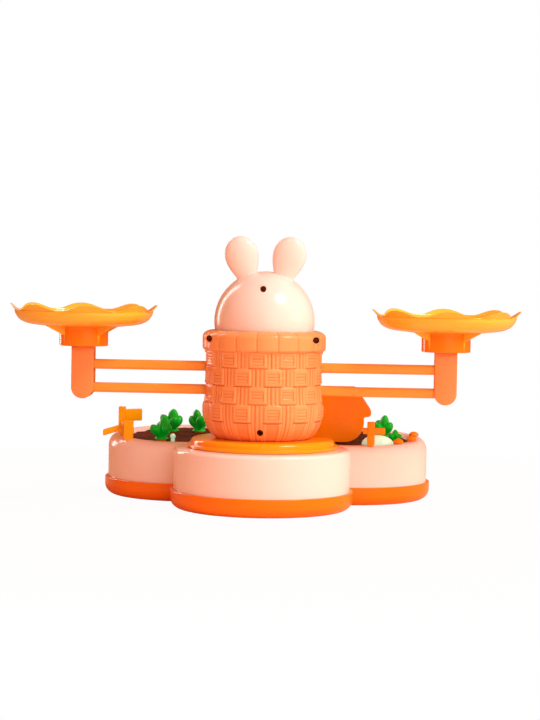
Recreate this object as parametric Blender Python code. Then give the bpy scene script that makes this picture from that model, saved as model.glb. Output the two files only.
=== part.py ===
"""A toy balance scale: a rabbit in a basket, a two-bar balance beam with a scalloped tray at each end, and a
clover-shaped base with two small gardens. Metres, +Z up. The seen side faces -Y, the rabbit's face +Y."""

import math

import bmesh
import bpy
from mathutils import Matrix, Vector

# Clearances
GAP = 0.0003
PIVOT_GAP = 0.00025
SIDE_PLAY = 0.0006

# Base outline: each lobe's circle at the lip, from the basket's upright axis
NEAR_LOBE_Y = -0.005
NEAR_LOBE_RADIUS = 0.0665
SIDE_LOBE_RADIUS = 0.063
SIDE_LOBE_ANGLE = 36.54
LOBE_OVERLAP = 0.0262
FAR_LOBE_Y = 0.092
FAR_LOBE_RADIUS = 0.047
NEAR_STEPS = (9, 9)
SIDE_STEPS = (14, 2)
FAR_STEPS = (3, 3)

# Base shells
FOOT_HEIGHT = 0.0012
FOOT_RADIUS = 0.006
FOOT_RECESS = 0.0009
FOOT_INSET = 0.0212
NEAR_FOOT_ANGLE = -22.04
FAR_FOOT_ANGLE = 58.3
BOTTOM_WALL = 0.0022
BOTTOM_FILLET = 0.008
LIP_TOP = 0.0148
LIP_WIDTH = 0.0021
LEDGE_DROP = 0.0023
TOP_WALL = 0.0022
DECK_TOP = 0.045
NEAR_FILLET = 0.003
SIDE_FILLET = 0.007
RIM_RISE = 0.005
RIM_BAND = 0.003
RIM_SLOPE = 0.003
NEAR_BAND = 0.001
FILLET_STEPS = 2
ROD_STEPS = 10
PIVOT_STEPS = 14
SMALL_STEPS = 12
SCREW_STEPS = 8
EAR_STEPS = 16
DISC_STEPS = 32

# Gardens
RIM_WIDTH = 0.0165
WELL_DEPTH = 0.009
SOIL_DROP = 0.0035
SOIL_RISE = 0.006
FURROW_PITCH = 0.012
FURROW_DEPTH = 0.0014
WELL_STEPS = 24

# Pedestal disc that the basket stands on
DISC_RADIUS = 0.0549
DISC_FLANGE = 0.0024
DISC_STEP = 0.0025
DISC_HEIGHT = 0.0067
DISC_WALL = 0.0022
DISC_ROUND = 0.003
DISC_MARGIN = 0.0051
HUB_RADIUS = 0.014
HUB_CLAMP = 0.004
DISC_SCREW_X = 0.035
DISC_SCREW_LENGTH = 0.008

# Basket
BASKET_HEIGHT = 0.0782
BASKET_RADIUS = 0.0429
BASKET_BULGE = 0.0014
BASKET_WALL = 0.0022
BASKET_FOOT_INSET = 0.0129
BULGE_RISE = 0.0211
TAPER_RISE = 0.0352
RIM_PROUD = 0.002
RIM_HEIGHT = 0.0149
RIM_ROUND = 0.0024
RIM_TOP_DROP = 0.005
MOUTH_BAND = 0.0004
BASKET_STEPS = 28
BASKET_HOLE_PLAY = 0.00025
RIM_HOLE_INSET = 0.0047
RIM_HOLE_DROP = 0.006
LOW_HOLE_RISE = 0.0065
WINDOW_DEPTH = 0.0125

# Head
HEAD_INSET = 0.0069
HEAD_STEP = 0.0006
HEAD_SINK = 0.0062
HEAD_WALL = 0.0022
NECK_FLANGE = 0.0022
HEAD_STEPS = 24
HEAD_RISE_STEPS = 7
HEAD_HOLE_RISE = 0.0239
HEAD_HOLE_PLAY = 0.00015
EAR_LENGTH = 0.0291
EAR_CROWN = 0.0136
EAR_ROOT_DEPTH = 0.006
EAR_HALF_WIDTH = 0.0121
EAR_ROOT_HALF_WIDTH = 0.0075
EAR_HALF_DEPTH = 0.0055
EAR_X = 0.0135
EAR_LEAN = 15.0
EAR_PEG_RADIUS = 0.003
EAR_PEG_LENGTH = 0.006
EYE_X = 0.0125
EYE_RISE = 0.010
EYE_HALF_WIDTH = 0.0028
EYE_HALF_HEIGHT = 0.0040
NOSE_RISE = 0.0035
NOSE_HALF_WIDTH = 0.0030
NOSE_HALF_HEIGHT = 0.0021
FACE_PROUD = 0.0016
FACE_PEG_RADIUS = 0.0012

# Balance beam: two bars that stay parallel
PIVOT_X = 0.1319
PIVOT_DROP = 0.0119
PIVOT_SPACING = 0.017
BAR_HEIGHT = 0.007
BAR_DEPTH = 0.008
BAR_ROUND = 0.0012
BEAM_BOSS_RADIUS = 0.006
PIN_RADIUS = 0.002
PIN_LENGTH = 0.024
PEG_RADIUS = 0.002
PEG_COVER = 0.0007
BEAM_TILT = 8.0

# Posts that carry the trays
POST_WIDTH = 0.0162
POST_WALL = 0.0022
POST_RISE = 0.0129
POST_CAP = 0.004
PLUG_RADIUS = 0.006
PLUG_HEIGHT = 0.0093

# Trays
TRAY_LOBES = 8
TRAY_STEPS = 48
LEFT_TRAY_TURN = 10.0
TRAY_RADIUS = 0.0522
BRIM_OUT = 0.0018
SHOULDER_INSET = 0.0142
CORNER_INSET = 0.0052
COLLAR_INSET = 0.0023
TRAY_WALL = 0.0018
COLLAR_HEIGHT = 0.0135
COLLAR_RADIUS = 0.0177
SOCKET_WALL = 0.002
FLOOR_RISE = 0.0019
CORNER_RISE = 0.0034
CREASE_RISE = 0.0061
BRIM_RISE = 0.0029
SCALLOP = 0.0023
SCALLOP_OUT = 0.0017
GUSSET_INSET = 0.0030
GUSSET_DROP = 0.0055
GUSSET_THICKNESS = 0.0016

# Screws
SCREW_SHANK_RADIUS = 0.0014
SCREW_HEAD_RADIUS = 0.0021
SCREW_HEAD_HEIGHT = 0.0016
SCREW_LENGTH = 0.010
SCREW_TIP = 0.0015
BOSS_RADIUS = 0.0035
BASE_BOSS_TOP = 0.009
BASE_SCREW_DEPTH = 0.0045
BASE_SCREW_INSET = 0.013
NEAR_SCREW_ANGLE = -51.0
SEAT_DEPTH = 0.0045

# House-shaped sign, seen from its back, and its place in the right garden
SIGN_AT = (-0.424, -0.3441)
SIGN_THICKNESS = 0.0035
SIGN_HALF_WIDTH = 0.032
SIGN_CORNER = 0.015
SIGN_EAVE_OUT = 0.0054
SIGN_EAVE_RISE = 0.0195
SIGN_EAVE_TIP_RISE = 0.0235
SIGN_HEIGHT = 0.0425
SIGN_TOP_HALF_WIDTH = 0.025
SIGN_TAB_WIDTH = 0.020
SIGN_TAB_DEPTH = 0.004
SIGN_ROUND = 0.0012

# Carrots: the garden's side, the place in it, the size against the full one and the turn in degrees.
# A place is measured outwards and to the far side from the garden's centre, against the garden's radius.
CARROT_PLACES = (
    (-1, 0.398, -0.387, 1.00, 10.0),
    (-1, 0.308, 0.538, 1.00, 75.0),
    (-1, -0.140, 0.559, 1.00, 200.0),
    (1, 0.574, 0.301, 1.00, 20.0),
    (1, 0.785, -0.215, 0.55, 100.0),
    (1, -0.419, 0.602, 0.75, 300.0),
)
ROOT_RADIUS = 0.004
ROOT_LENGTH = 0.015
CROWN_RADIUS = 0.0055
CROWN_HEIGHT = 0.002
LEAF_LENGTH = 0.0170
LEAF_HALF_WIDTH = 0.0044
LEAF_HALF_DEPTH = 0.0030
# Each leaf's lean and turn in degrees, and its length against the longest
LEAVES = ((8.0, 0.0, 1.0), (38.0, 90.0, 0.9), (42.0, 215.0, 0.85), (34.0, 320.0, 0.8))
# A root's shoulder and tip, as shares of its radius and its length
ROOT_SHAPE = ((1.0, 0.3), (0.55, 0.8))

# Small pieces of the gardens. Those on the rim stand at an angle, outwards from the garden's edge.
FENCE_BAR = 0.0056
FENCE_DEPTH = 0.0045
FENCE_PEG_RADIUS = 0.0016
FENCE_RAIL_HEIGHT = 0.0046
FENCE_RAIL_DEPTH = 0.0034
FENCE_RAIL_DROP = 0.0015
RIGHT_POST_OUT = 0.0084
RIGHT_POST_ANGLE = -71.4
RIGHT_FENCE_HEIGHT = 0.0175
RIGHT_RAIL_LENGTH = 0.0165
RIGHT_RAIL_SHIFT = 0.0022
RIGHT_RAIL_RISE = 0.009
LEFT_NEAR_POST_OUT = 0.0086
LEFT_NEAR_POST_ANGLE = -41.3
LEFT_FAR_POST_OUT = 0.0054
LEFT_FAR_POST_ANGLE = -20.3
LEFT_NEAR_POST_HEIGHT = 0.0134
LEFT_FAR_POST_HEIGHT = 0.0214
LEFT_RAIL_HEIGHT = 0.0090
LEFT_RAIL_REACH = 0.0135
LEFT_LOW_RAIL_REACH = 0.0140
LEFT_LOW_RAIL_DROP = 0.0128
LEFT_LOW_RAIL_FALL = 0.0042
DOME_RADIUS = 0.0038
DOME_HEIGHT = 0.0034
DOME_PEG_RADIUS = 0.0014
DOME_PEG_LENGTH = 0.0045
DOME_OUT = 0.0050
DOME_ANGLES = (-42.0, -20.0, 9.0)
MOUND_INSET = 0.0106
MOUND_ANGLE = -51.2
MOUND_RADII = (0.0125, 0.0070, 0.0072)
BUD_AT = (0.204, -0.462)
BUD_RADIUS = 0.0021
BUD_STEM_RADIUS = 0.0015
BUD_STEM_HEIGHT = 0.0006
STEM_DEPTH = 0.004

# Heights and places that follow
LOBE_REACH = NEAR_LOBE_RADIUS + SIDE_LOBE_RADIUS - LOBE_OVERLAP
SIDE_LOBE_X = LOBE_REACH * math.sin(math.radians(SIDE_LOBE_ANGLE))
SIDE_LOBE_Y = NEAR_LOBE_Y + LOBE_REACH * math.cos(math.radians(SIDE_LOBE_ANGLE))
AXIS_Y = -(NEAR_LOBE_Y - NEAR_LOBE_RADIUS + SIDE_LOBE_Y + SIDE_LOBE_RADIUS) / 2
WELL_RADIUS = SIDE_LOBE_RADIUS - RIM_WIDTH
WELL_FLOOR = DECK_TOP - WELL_DEPTH
SOIL_NEAR_TOP = DECK_TOP - SOIL_DROP
DISC_TIER_RADIUS = DISC_RADIUS - DISC_STEP
BASKET_FOOT_RADIUS = BASKET_RADIUS - BASKET_FOOT_INSET
RIM_RADIUS = BASKET_RADIUS + RIM_PROUD
RIM_HOLE_X = BASKET_RADIUS - RIM_HOLE_INSET
HEAD_RADIUS = BASKET_RADIUS - HEAD_INSET
BASKET_HOLE_RADIUS = SCREW_HEAD_RADIUS + BASKET_HOLE_PLAY
HEAD_HOLE_RADIUS = SCREW_HEAD_RADIUS + HEAD_HOLE_PLAY
BORE_RADIUS = SCREW_SHANK_RADIUS + GAP
PEG_LENGTH = SIDE_PLAY + POST_WALL - PEG_COVER
TRAY_CREASE_RADIUS = TRAY_RADIUS - BRIM_OUT
TRAY_SHOULDER_RADIUS = TRAY_RADIUS - SHOULDER_INSET
TRAY_CORNER_RADIUS = TRAY_RADIUS - CORNER_INSET
TRAY_FLOOR_RADIUS = COLLAR_RADIUS + COLLAR_INSET
GUSSET_REACH = TRAY_SHOULDER_RADIUS - GUSSET_INSET
LEDGE_TOP = LIP_TOP - LEDGE_DROP
COVER_INSET = LIP_WIDTH + GAP
DISC_BOTTOM = DECK_TOP + GAP
DISC_TOP = DISC_BOTTOM + DISC_HEIGHT
BASKET_BOTTOM = DISC_TOP + GAP
RIM_TOP = BASKET_BOTTOM + BASKET_HEIGHT
RIM_BOTTOM = RIM_TOP - RIM_HEIGHT
UPPER_PIVOT_Z = RIM_BOTTOM - PIVOT_DROP
LOWER_PIVOT_Z = UPPER_PIVOT_Z - PIVOT_SPACING
HEAD_Z = RIM_TOP + HEAD_SINK
FRONT_HEAD_RADIUS = HEAD_RADIUS + HEAD_STEP
POST_TOP = UPPER_PIVOT_Z + POST_RISE
POST_DEPTH = BAR_DEPTH + 2 * (SIDE_PLAY + POST_WALL)
SOCKET_RADIUS = PLUG_RADIUS + GAP
TRAY_BOTTOM = POST_TOP + GAP
GARDEN_CLEAR = DISC_RADIUS + DISC_MARGIN
SOIL_BOTTOM = WELL_FLOOR + GAP


def in_near_lobe(side, inset, angle):
    """A place on the left (-1) or right (1) of the near lobe, in from its lip at an angle."""
    reach, turn = NEAR_LOBE_RADIUS - inset, math.radians(angle)
    return (side * reach * math.cos(turn), NEAR_LOBE_Y + reach * math.sin(turn))


def round_garden(side, out, angle):
    """A place outwards from a garden's edge, at an angle about the garden's centre."""
    reach, turn = WELL_RADIUS + out, math.radians(angle)
    return (side * (SIDE_LOBE_X + reach * math.cos(turn)), SIDE_LOBE_Y + reach * math.sin(turn))


def in_garden(side, outwards, farther):
    """A place in a garden, from its centre and against its radius."""
    return (side * (SIDE_LOBE_X + outwards * WELL_RADIUS), SIDE_LOBE_Y + farther * WELL_RADIUS)


BASE_SCREWS = (
    in_near_lobe(-1, BASE_SCREW_INSET, NEAR_SCREW_ANGLE),
    in_near_lobe(1, BASE_SCREW_INSET, NEAR_SCREW_ANGLE),
    (0.0, FAR_LOBE_Y + FAR_LOBE_RADIUS - BASE_SCREW_INSET),
    round_garden(-1, RIM_WIDTH - BASE_SCREW_INSET, 0.0),
    round_garden(1, RIM_WIDTH - BASE_SCREW_INSET, 0.0),
)
FEET = (
    in_near_lobe(-1, FOOT_INSET, NEAR_FOOT_ANGLE),
    in_near_lobe(1, FOOT_INSET, NEAR_FOOT_ANGLE),
    round_garden(-1, RIM_WIDTH - FOOT_INSET, FAR_FOOT_ANGLE),
    round_garden(1, RIM_WIDTH - FOOT_INSET, FAR_FOOT_ANGLE),
)
CARROTS = tuple((*in_garden(side, out, far), scale, turn) for side, out, far, scale, turn in CARROT_PLACES)
SIGN_X, SIGN_Y = in_garden(1, *SIGN_AT)

COLOURS = {
    "cream": (0.95, 0.79, 0.64),
    "basket orange": (0.95, 0.33, 0.12),
    "tray orange": (0.95, 0.40, 0.03),
    "shell orange": (0.95, 0.22, 0.01),
    "bar orange": (0.95, 0.35, 0.07),
    "sign orange": (0.92, 0.16, 0.01),
    "fence yellow": (0.95, 0.45, 0.01),
    "leaf green": (0.01, 0.26, 0.02),
    "pale green": (0.70, 0.82, 0.66),
    "soil brown": (0.15, 0.03, 0.01),
    "carrot orange": (0.90, 0.25, 0.02),
    "black": (0.01, 0.01, 0.01),
    "pink": (0.85, 0.25, 0.25),
    "steel": (0.55, 0.55, 0.57),
    "rubber": (0.20, 0.20, 0.20),
}


def material(name):
    """A glossy plastic of the named colour, or metal for steel and matt for rubber and soil."""
    found = bpy.data.materials.get(name)
    if found:
        return found
    made = bpy.data.materials.new(name)
    made.use_nodes = True
    shader = made.node_tree.nodes["Principled BSDF"]
    shader.inputs["Base Color"].default_value = (*COLOURS[name], 1.0)
    shader.inputs["Roughness"].default_value = 0.8 if name in ("rubber", "soil brown") else 0.3
    shader.inputs["Metallic"].default_value = 1.0 if name == "steel" else 0.0
    return made


def clear_scene():
    """Starts from an empty scene."""
    for obj in list(bpy.data.objects):
        bpy.data.objects.remove(obj, do_unlink=True)


def make_axis():
    """An empty on the basket's upright axis, from which every piece is measured."""
    axis = bpy.data.objects.new("basket_axis", None)
    axis.location = (0.0, AXIS_Y, 0.0)
    bpy.context.scene.collection.objects.link(axis)
    return axis


def new_object(name, bm, colour, axis, origin=(0.0, 0.0, 0.0)):
    """Makes an object of the shapes in bm, with its own origin, measured from the basket's axis."""
    bmesh.ops.recalc_face_normals(bm, faces=bm.faces)
    bmesh.ops.translate(bm, verts=bm.verts, vec=-Vector(origin))
    mesh = bpy.data.meshes.new(name)
    bm.to_mesh(mesh)
    bm.free()
    return link_mesh(name, mesh, colour, axis, origin)


def link_mesh(name, mesh, colour, axis, origin):
    """Puts a mesh in the scene as a smooth-shaded object under the basket's axis."""
    obj = bpy.data.objects.new(name, mesh)
    if not mesh.materials:
        mesh.materials.append(material(colour))
    mesh.shade_smooth()
    mesh.set_sharp_from_angle(angle=math.radians(40))
    obj.parent = axis
    obj.location = origin
    bpy.context.scene.collection.objects.link(obj)
    return obj


def attach(obj, carrier):
    """Lets a piece ride on another, where it already stands."""
    obj.location = obj.location - carrier.location
    obj.parent = carrier


def helper(name, bm, axis):
    """A cutter or an added shape, seen as wires only."""
    obj = new_object(name, bm, "steel", axis)
    obj.hide_render = True
    obj.display_type = "WIRE"
    return obj


def combine(obj, tool, operation):
    """Cuts a helper out of an object, adds it, or keeps what both share."""
    boolean = obj.modifiers.new(tool.name, "BOOLEAN")
    boolean.object = tool
    boolean.operation = operation
    boolean.solver = "EXACT"


def add_stack(bm, rings):
    """A closed body from rings of points with as many points each, closed by its first and last ring."""
    rows = [[bm.verts.new(point) for point in ring] for ring in rings]
    for low, high in zip(rows, rows[1:]):
        for k in range(len(low)):
            after = (k + 1) % len(low)
            bm.faces.new((low[k], low[after], high[after], high[k]))
    bm.faces.new(rows[0][::-1])
    bm.faces.new(rows[-1])


def add_turned(bm, profile, steps, ripple=None, tilt=Matrix.Identity(4)):
    """A body turned about Z from (radius, height) points. A profile that starts and ends off the axis is a
    closed loop. ripple(index, angle) gives what a scallop adds to a point's radius and height."""
    rows = []
    for index, (radius, height) in enumerate(profile):
        if radius == 0.0:
            rows.append([bm.verts.new(tilt @ Vector((0.0, 0.0, height)))])
            continue
        row = []
        for k in range(steps):
            angle = 2 * math.pi * k / steps
            out, up = ripple(index, angle) if ripple else (0.0, 0.0)
            r = radius + out
            point = Vector((r * math.cos(angle), r * math.sin(angle), height + up))
            row.append(bm.verts.new(tilt @ point))
        rows.append(row)
    pairs = list(zip(rows, rows[1:]))
    if len(rows[0]) > 1:
        pairs.append((rows[-1], rows[0]))
    for a, b in pairs:
        for k in range(steps):
            after = (k + 1) % steps
            corners = [a[k % len(a)], a[after % len(a)], b[after % len(b)], b[k % len(b)]]
            unique = list(dict.fromkeys(corners))
            if len(unique) > 2:
                bm.faces.new(unique)


def along(direction, at):
    """Turns Z to a direction and moves the origin to a point."""
    turn = Vector((0.0, 0.0, 1.0)).rotation_difference(Vector(direction)).to_matrix().to_4x4()
    return Matrix.Translation(Vector(at)) @ turn


def add_half_shell(bm, profile, steps, side):
    """Half of a turned shell, on the near (-1) or far (1) side of the plane where two shells meet."""
    rows = []
    for radius, height in profile:
        if radius == 0.0:
            rows.append([bm.verts.new((0.0, side * GAP / 2, height))])
            continue
        row = []
        for k in range(steps + 1):
            angle = math.pi * k / steps
            depth = GAP / 2 + radius * math.sin(angle)
            row.append(bm.verts.new((radius * math.cos(angle), side * depth, height)))
        rows.append(row)
    pairs = list(zip(rows, rows[1:]))
    if len(rows[0]) > 1:
        pairs.append((rows[-1], rows[0]))
        bm.faces.new([row[0] for row in rows])
        bm.faces.new([row[-1] for row in rows])
    else:
        bm.faces.new([row[0] for row in rows] + [row[-1] for row in reversed(rows[1:-1])])
    for a, b in pairs:
        for k in range(steps):
            here = (min(k, len(a) - 1), min(k, len(b) - 1))
            after = (min(k + 1, len(a) - 1), min(k + 1, len(b) - 1))
            corners = [a[here[0]], a[after[0]], b[after[1]], b[here[1]]]
            bm.faces.new(list(dict.fromkeys(corners)))


def add_rod(bm, radius, start, end, steps=ROD_STEPS):
    """A round rod between two points."""
    start, end = Vector(start), Vector(end)
    length = (end - start).length
    profile = ((0.0, 0.0), (radius, 0.0), (radius, length), (0.0, length))
    add_turned(bm, profile, steps, tilt=along(end - start, start))


def add_box(bm, low, high):
    """An upright box between two corners."""
    low, high = Vector(low), Vector(high)
    matrix = Matrix.Translation((low + high) / 2) @ Matrix.Diagonal((*(high - low), 1.0))
    bmesh.ops.create_cube(bm, size=1.0, matrix=matrix)


def add_ball(bm, radii, at, segments=20, rings=12, turn=Matrix.Identity(4)):
    """An egg or ball with three radii."""
    matrix = Matrix.Translation(Vector(at)) @ turn @ Matrix.Diagonal((*radii, 1.0))
    bmesh.ops.create_uvsphere(bm, u_segments=segments, v_segments=rings, radius=1.0, matrix=matrix)


def add_plate(bm, outline, y_low, y_high):
    """A plate with an outline in X and Z and its thickness along Y."""
    add_stack(bm, [[(x, y_high, z) for x, z in outline], [(x, y_low, z) for x, z in outline]])


def arc(centre, radius, start, end, steps):
    """Points of an arc, in degrees, both ends included."""
    points = []
    for k in range(steps + 1):
        angle = math.radians(start + (end - start) * k / steps)
        points.append((centre[0] + radius * math.cos(angle), centre[1] + radius * math.sin(angle)))
    return points


def outer_crossing(first, second):
    """Where two lobes' circles cross on the outside of the base."""
    a, b = Vector(first[0]), Vector(second[0])
    between = b - a
    distance = between.length
    reach = (distance**2 + first[1] ** 2 - second[1] ** 2) / (2 * distance)
    side = math.sqrt(first[1] ** 2 - reach**2)
    unit = between / distance
    across = Vector((unit.y, -unit.x))
    middle = Vector((0.0, (NEAR_LOBE_Y + SIDE_LOBE_Y) / 2))
    crossings = [a + unit * reach + across * side, a + unit * reach - across * side]
    return max(crossings, key=lambda point: (point - middle).length)


def rim_rise(y):
    """How much the rim stands over the deck, growing from the near side to the far one."""
    far = SIDE_LOBE_Y + SIDE_LOBE_RADIUS
    start = NEAR_LOBE_Y + NEAR_LOBE_RADIUS / 2
    return RIM_RISE * min(1.0, max(0.0, (y - start) / (far - start)))


def clover_ring(near_inset, side_inset, near_z, side_z, rise=0.0):
    """One level of the base's outline, drawn in from the lip by an inset, anticlockwise from above. Each lobe
    has a corner where it is nearest or farthest, and so many steps before and after it."""
    lobes = (
        ((0.0, NEAR_LOBE_Y), NEAR_LOBE_RADIUS - near_inset, near_z, 270.0, NEAR_STEPS),
        ((SIDE_LOBE_X, SIDE_LOBE_Y), SIDE_LOBE_RADIUS - side_inset, side_z, 90.0, SIDE_STEPS),
        ((0.0, FAR_LOBE_Y), FAR_LOBE_RADIUS - side_inset, side_z, 90.0, FAR_STEPS),
        ((-SIDE_LOBE_X, SIDE_LOBE_Y), SIDE_LOBE_RADIUS - side_inset, side_z, 90.0, SIDE_STEPS[::-1]),
    )
    ring = []
    for index, (centre, radius, z, middle, (before, after)) in enumerate(lobes):
        entry = outer_crossing(lobes[index - 1], lobes[index]) - Vector(centre)
        leave = outer_crossing(lobes[index], lobes[(index + 1) % len(lobes)]) - Vector(centre)
        start = math.degrees(math.atan2(entry.y, entry.x))
        end = math.degrees(math.atan2(leave.y, leave.x))
        if end <= start:
            end += 360.0
        points = arc(centre, radius, start, middle, before)[:-1] + arc(centre, radius, middle, end, after)[:-1]
        ring += [(x, y, z + rise * rim_rise(y)) for x, y in points]
    return ring


def level_ring(inset, z):
    """A level outline with one inset all round."""
    return clover_ring(inset, inset, z, z)


def make_base_bottom(axis):
    """The lower shell: floor, rounded bottom edge, lip, ledge for the cover and screw bosses."""
    rings = []
    for k in range(FILLET_STEPS + 1):
        angle = math.pi / 2 * k / FILLET_STEPS
        inset = BOTTOM_FILLET * (1 - math.sin(angle))
        rings.append(level_ring(inset, FOOT_HEIGHT + BOTTOM_FILLET * (1 - math.cos(angle))))
    wall = COVER_INSET + TOP_WALL
    floor = FOOT_HEIGHT + BOTTOM_WALL
    rings += [
        level_ring(0.0, LIP_TOP), level_ring(LIP_WIDTH, LIP_TOP), level_ring(LIP_WIDTH, LEDGE_TOP),
        level_ring(wall, LEDGE_TOP), level_ring(wall, floor + BOTTOM_WALL), level_ring(BOTTOM_FILLET, floor),
    ]
    bm = bmesh.new()
    add_stack(bm, rings)
    shell = new_object("base_bottom_shell", bm, "shell orange", axis)

    bosses = bmesh.new()
    holes = bmesh.new()
    for x, y in BASE_SCREWS:
        add_rod(bosses, BOSS_RADIUS + LIP_WIDTH / 2, (x, y, floor - GAP), (x, y, BASE_BOSS_TOP))
        seat = FOOT_HEIGHT + BASE_SCREW_DEPTH
        profile = (
            (0.0, FOOT_HEIGHT - GAP), (SCREW_HEAD_RADIUS + GAP, FOOT_HEIGHT - GAP),
            (SCREW_HEAD_RADIUS + GAP, seat), (BORE_RADIUS, seat),
            (BORE_RADIUS, BASE_BOSS_TOP + GAP), (0.0, BASE_BOSS_TOP + GAP),
        )
        add_turned(holes, profile, ROD_STEPS, tilt=Matrix.Translation((x, y, 0.0)))
    for x, y in FEET:
        recess_top = FOOT_HEIGHT + FOOT_RECESS
        add_rod(holes, FOOT_RADIUS + GAP, (x, y, FOOT_HEIGHT - GAP), (x, y, recess_top), PIVOT_STEPS)
    combine(shell, helper("bottom_bosses", bosses, axis), "UNION")
    combine(shell, helper("bottom_holes", holes, axis), "DIFFERENCE")


def garden_ring(side, inset, z):
    """A garden's outline on the left (-1) or right (1), kept clear of the pedestal disc."""
    ring = []
    for x, y in arc((side * SIDE_LOBE_X, SIDE_LOBE_Y), WELL_RADIUS - inset, 0.0, 360.0, WELL_STEPS)[:-1]:
        reach = math.hypot(x, y)
        push = max(1.0, (GARDEN_CLEAR + inset) / reach)
        ring.append((x * push, y * push, z))
    return ring


def soil_height(y):
    """The soil's top, which climbs towards the far side."""
    near = SIDE_LOBE_Y - WELL_RADIUS
    return SOIL_NEAR_TOP + SOIL_RISE * (y - near) / (2 * WELL_RADIUS)


def plant_seat(y):
    """Where a plant's crown rests, just over the furrows."""
    return soil_height(y) + FURROW_DEPTH / 2 + GAP


def dome_places():
    """Where the three domes stand on the right rim."""
    return [round_garden(1, DOME_OUT, angle) for angle in DOME_ANGLES]


def post_places():
    """Where the right fence, and the left one's near and far posts, stand on the rims."""
    return (
        round_garden(1, RIGHT_POST_OUT, RIGHT_POST_ANGLE),
        round_garden(-1, LEFT_NEAR_POST_OUT, LEFT_NEAR_POST_ANGLE),
        round_garden(-1, LEFT_FAR_POST_OUT, LEFT_FAR_POST_ANGLE),
    )


def make_base_top(axis):
    """The upper shell: wall, rounded top edge, raised far rim, deck, garden wells and screw bosses."""
    rings = [level_ring(COVER_INSET, LEDGE_TOP + GAP)]
    for k in range(FILLET_STEPS + 1):
        angle = math.pi / 2 * k / FILLET_STEPS
        drawn_in, below = 1 - math.cos(angle), 1 - math.sin(angle)
        rings.append(
            clover_ring(
                COVER_INSET + NEAR_FILLET * drawn_in, COVER_INSET + SIDE_FILLET * drawn_in,
                DECK_TOP - NEAR_FILLET * below, DECK_TOP - SIDE_FILLET * below, math.sin(angle),
            )
        )
    near_band = COVER_INSET + NEAR_FILLET + NEAR_BAND
    side_band = COVER_INSET + SIDE_FILLET + RIM_BAND
    rings.append(clover_ring(near_band, side_band, DECK_TOP, DECK_TOP, 1.0))
    rings.append(clover_ring(near_band + NEAR_BAND, side_band + RIM_SLOPE, DECK_TOP, DECK_TOP))
    bm = bmesh.new()
    add_stack(bm, rings)
    shell = new_object("base_top_shell", bm, "cream", axis)

    inner = COVER_INSET + TOP_WALL
    cavity = bmesh.new()
    add_stack(
        cavity,
        [
            level_ring(inner, LEDGE_TOP - GAP),
            clover_ring(
                inner, inner, DECK_TOP - TOP_WALL - NEAR_FILLET / 2, DECK_TOP - TOP_WALL - SIDE_FILLET / 2
            ),
            level_ring(inner + SIDE_FILLET / 2, DECK_TOP - TOP_WALL),
        ],
    )
    wells = bmesh.new()
    pockets = bmesh.new()
    for side in (-1, 1):
        well_low, well_high = WELL_FLOOR - TOP_WALL, DECK_TOP - TOP_WALL / 2
        add_stack(
            wells, [garden_ring(side, -TOP_WALL, well_low), garden_ring(side, -TOP_WALL, well_high)]
        )
        add_stack(
            pockets, [garden_ring(side, 0.0, WELL_FLOOR), garden_ring(side, 0.0, 2 * DECK_TOP)]
        )
    bosses = bmesh.new()
    holes = bmesh.new()
    for x, y in BASE_SCREWS:
        add_rod(bosses, BOSS_RADIUS, (x, y, BASE_BOSS_TOP + GAP), (x, y, DECK_TOP - TOP_WALL / 2))
        tip = FOOT_HEIGHT + BASE_SCREW_DEPTH + SCREW_LENGTH + 2 * GAP
        add_rod(holes, BORE_RADIUS, (x, y, BASE_BOSS_TOP), (x, y, tip))
    for x in (-DISC_SCREW_X, DISC_SCREW_X):
        add_rod(holes, BORE_RADIUS, (x, 0.0, DECK_TOP - 2 * TOP_WALL), (x, 0.0, DECK_TOP + GAP))
    for x, y, scale, _ in CARROTS:
        low, high = WELL_FLOOR - 2 * TOP_WALL, WELL_FLOOR + TOP_WALL
        add_rod(holes, ROOT_RADIUS * scale + GAP, (x, y, low), (x, y, high))
    for (x, y), radius in peg_places():
        add_rod(holes, radius + GAP, (x, y, DECK_TOP - 2 * TOP_WALL), (x, y, 2 * DECK_TOP))
    combine(shell, helper("top_cavity", cavity, axis), "DIFFERENCE")
    combine(shell, helper("top_wells", wells, axis), "UNION")
    combine(shell, helper("top_pockets", pockets, axis), "DIFFERENCE")
    combine(shell, helper("top_bosses", bosses, axis), "UNION")
    combine(shell, helper("top_holes", holes, axis), "DIFFERENCE")


def peg_places():
    """Each small piece's peg in the rim: its place and its radius."""
    pegs = [(place, DOME_PEG_RADIUS) for place in dome_places()]
    pegs += [(place, FENCE_PEG_RADIUS) for place in post_places()]
    return pegs


def make_screw_mesh(length):
    """A pan-head screw, its head's bearing face at the origin and its shank along +Z."""
    bm = bmesh.new()
    profile = (
        (0.0, -SCREW_HEAD_HEIGHT), (SCREW_HEAD_RADIUS, -SCREW_HEAD_HEIGHT), (SCREW_HEAD_RADIUS, 0.0),
        (SCREW_SHANK_RADIUS, 0.0), (SCREW_SHANK_RADIUS, length - SCREW_TIP), (0.0, length),
    )
    add_turned(bm, profile, SCREW_STEPS)
    bmesh.ops.recalc_face_normals(bm, faces=bm.faces)
    mesh = bpy.data.meshes.new("screw")
    bm.to_mesh(mesh)
    bm.free()
    return mesh


def place_screw(name, mesh, at, direction, axis):
    """A screw whose bearing face lies at a point and whose shank runs along a direction."""
    screw = link_mesh(name, mesh, "steel", axis, at)
    turn = Vector((0.0, 0.0, 1.0)).rotation_difference(Vector(direction))
    screw.rotation_euler = turn.to_euler()


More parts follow.
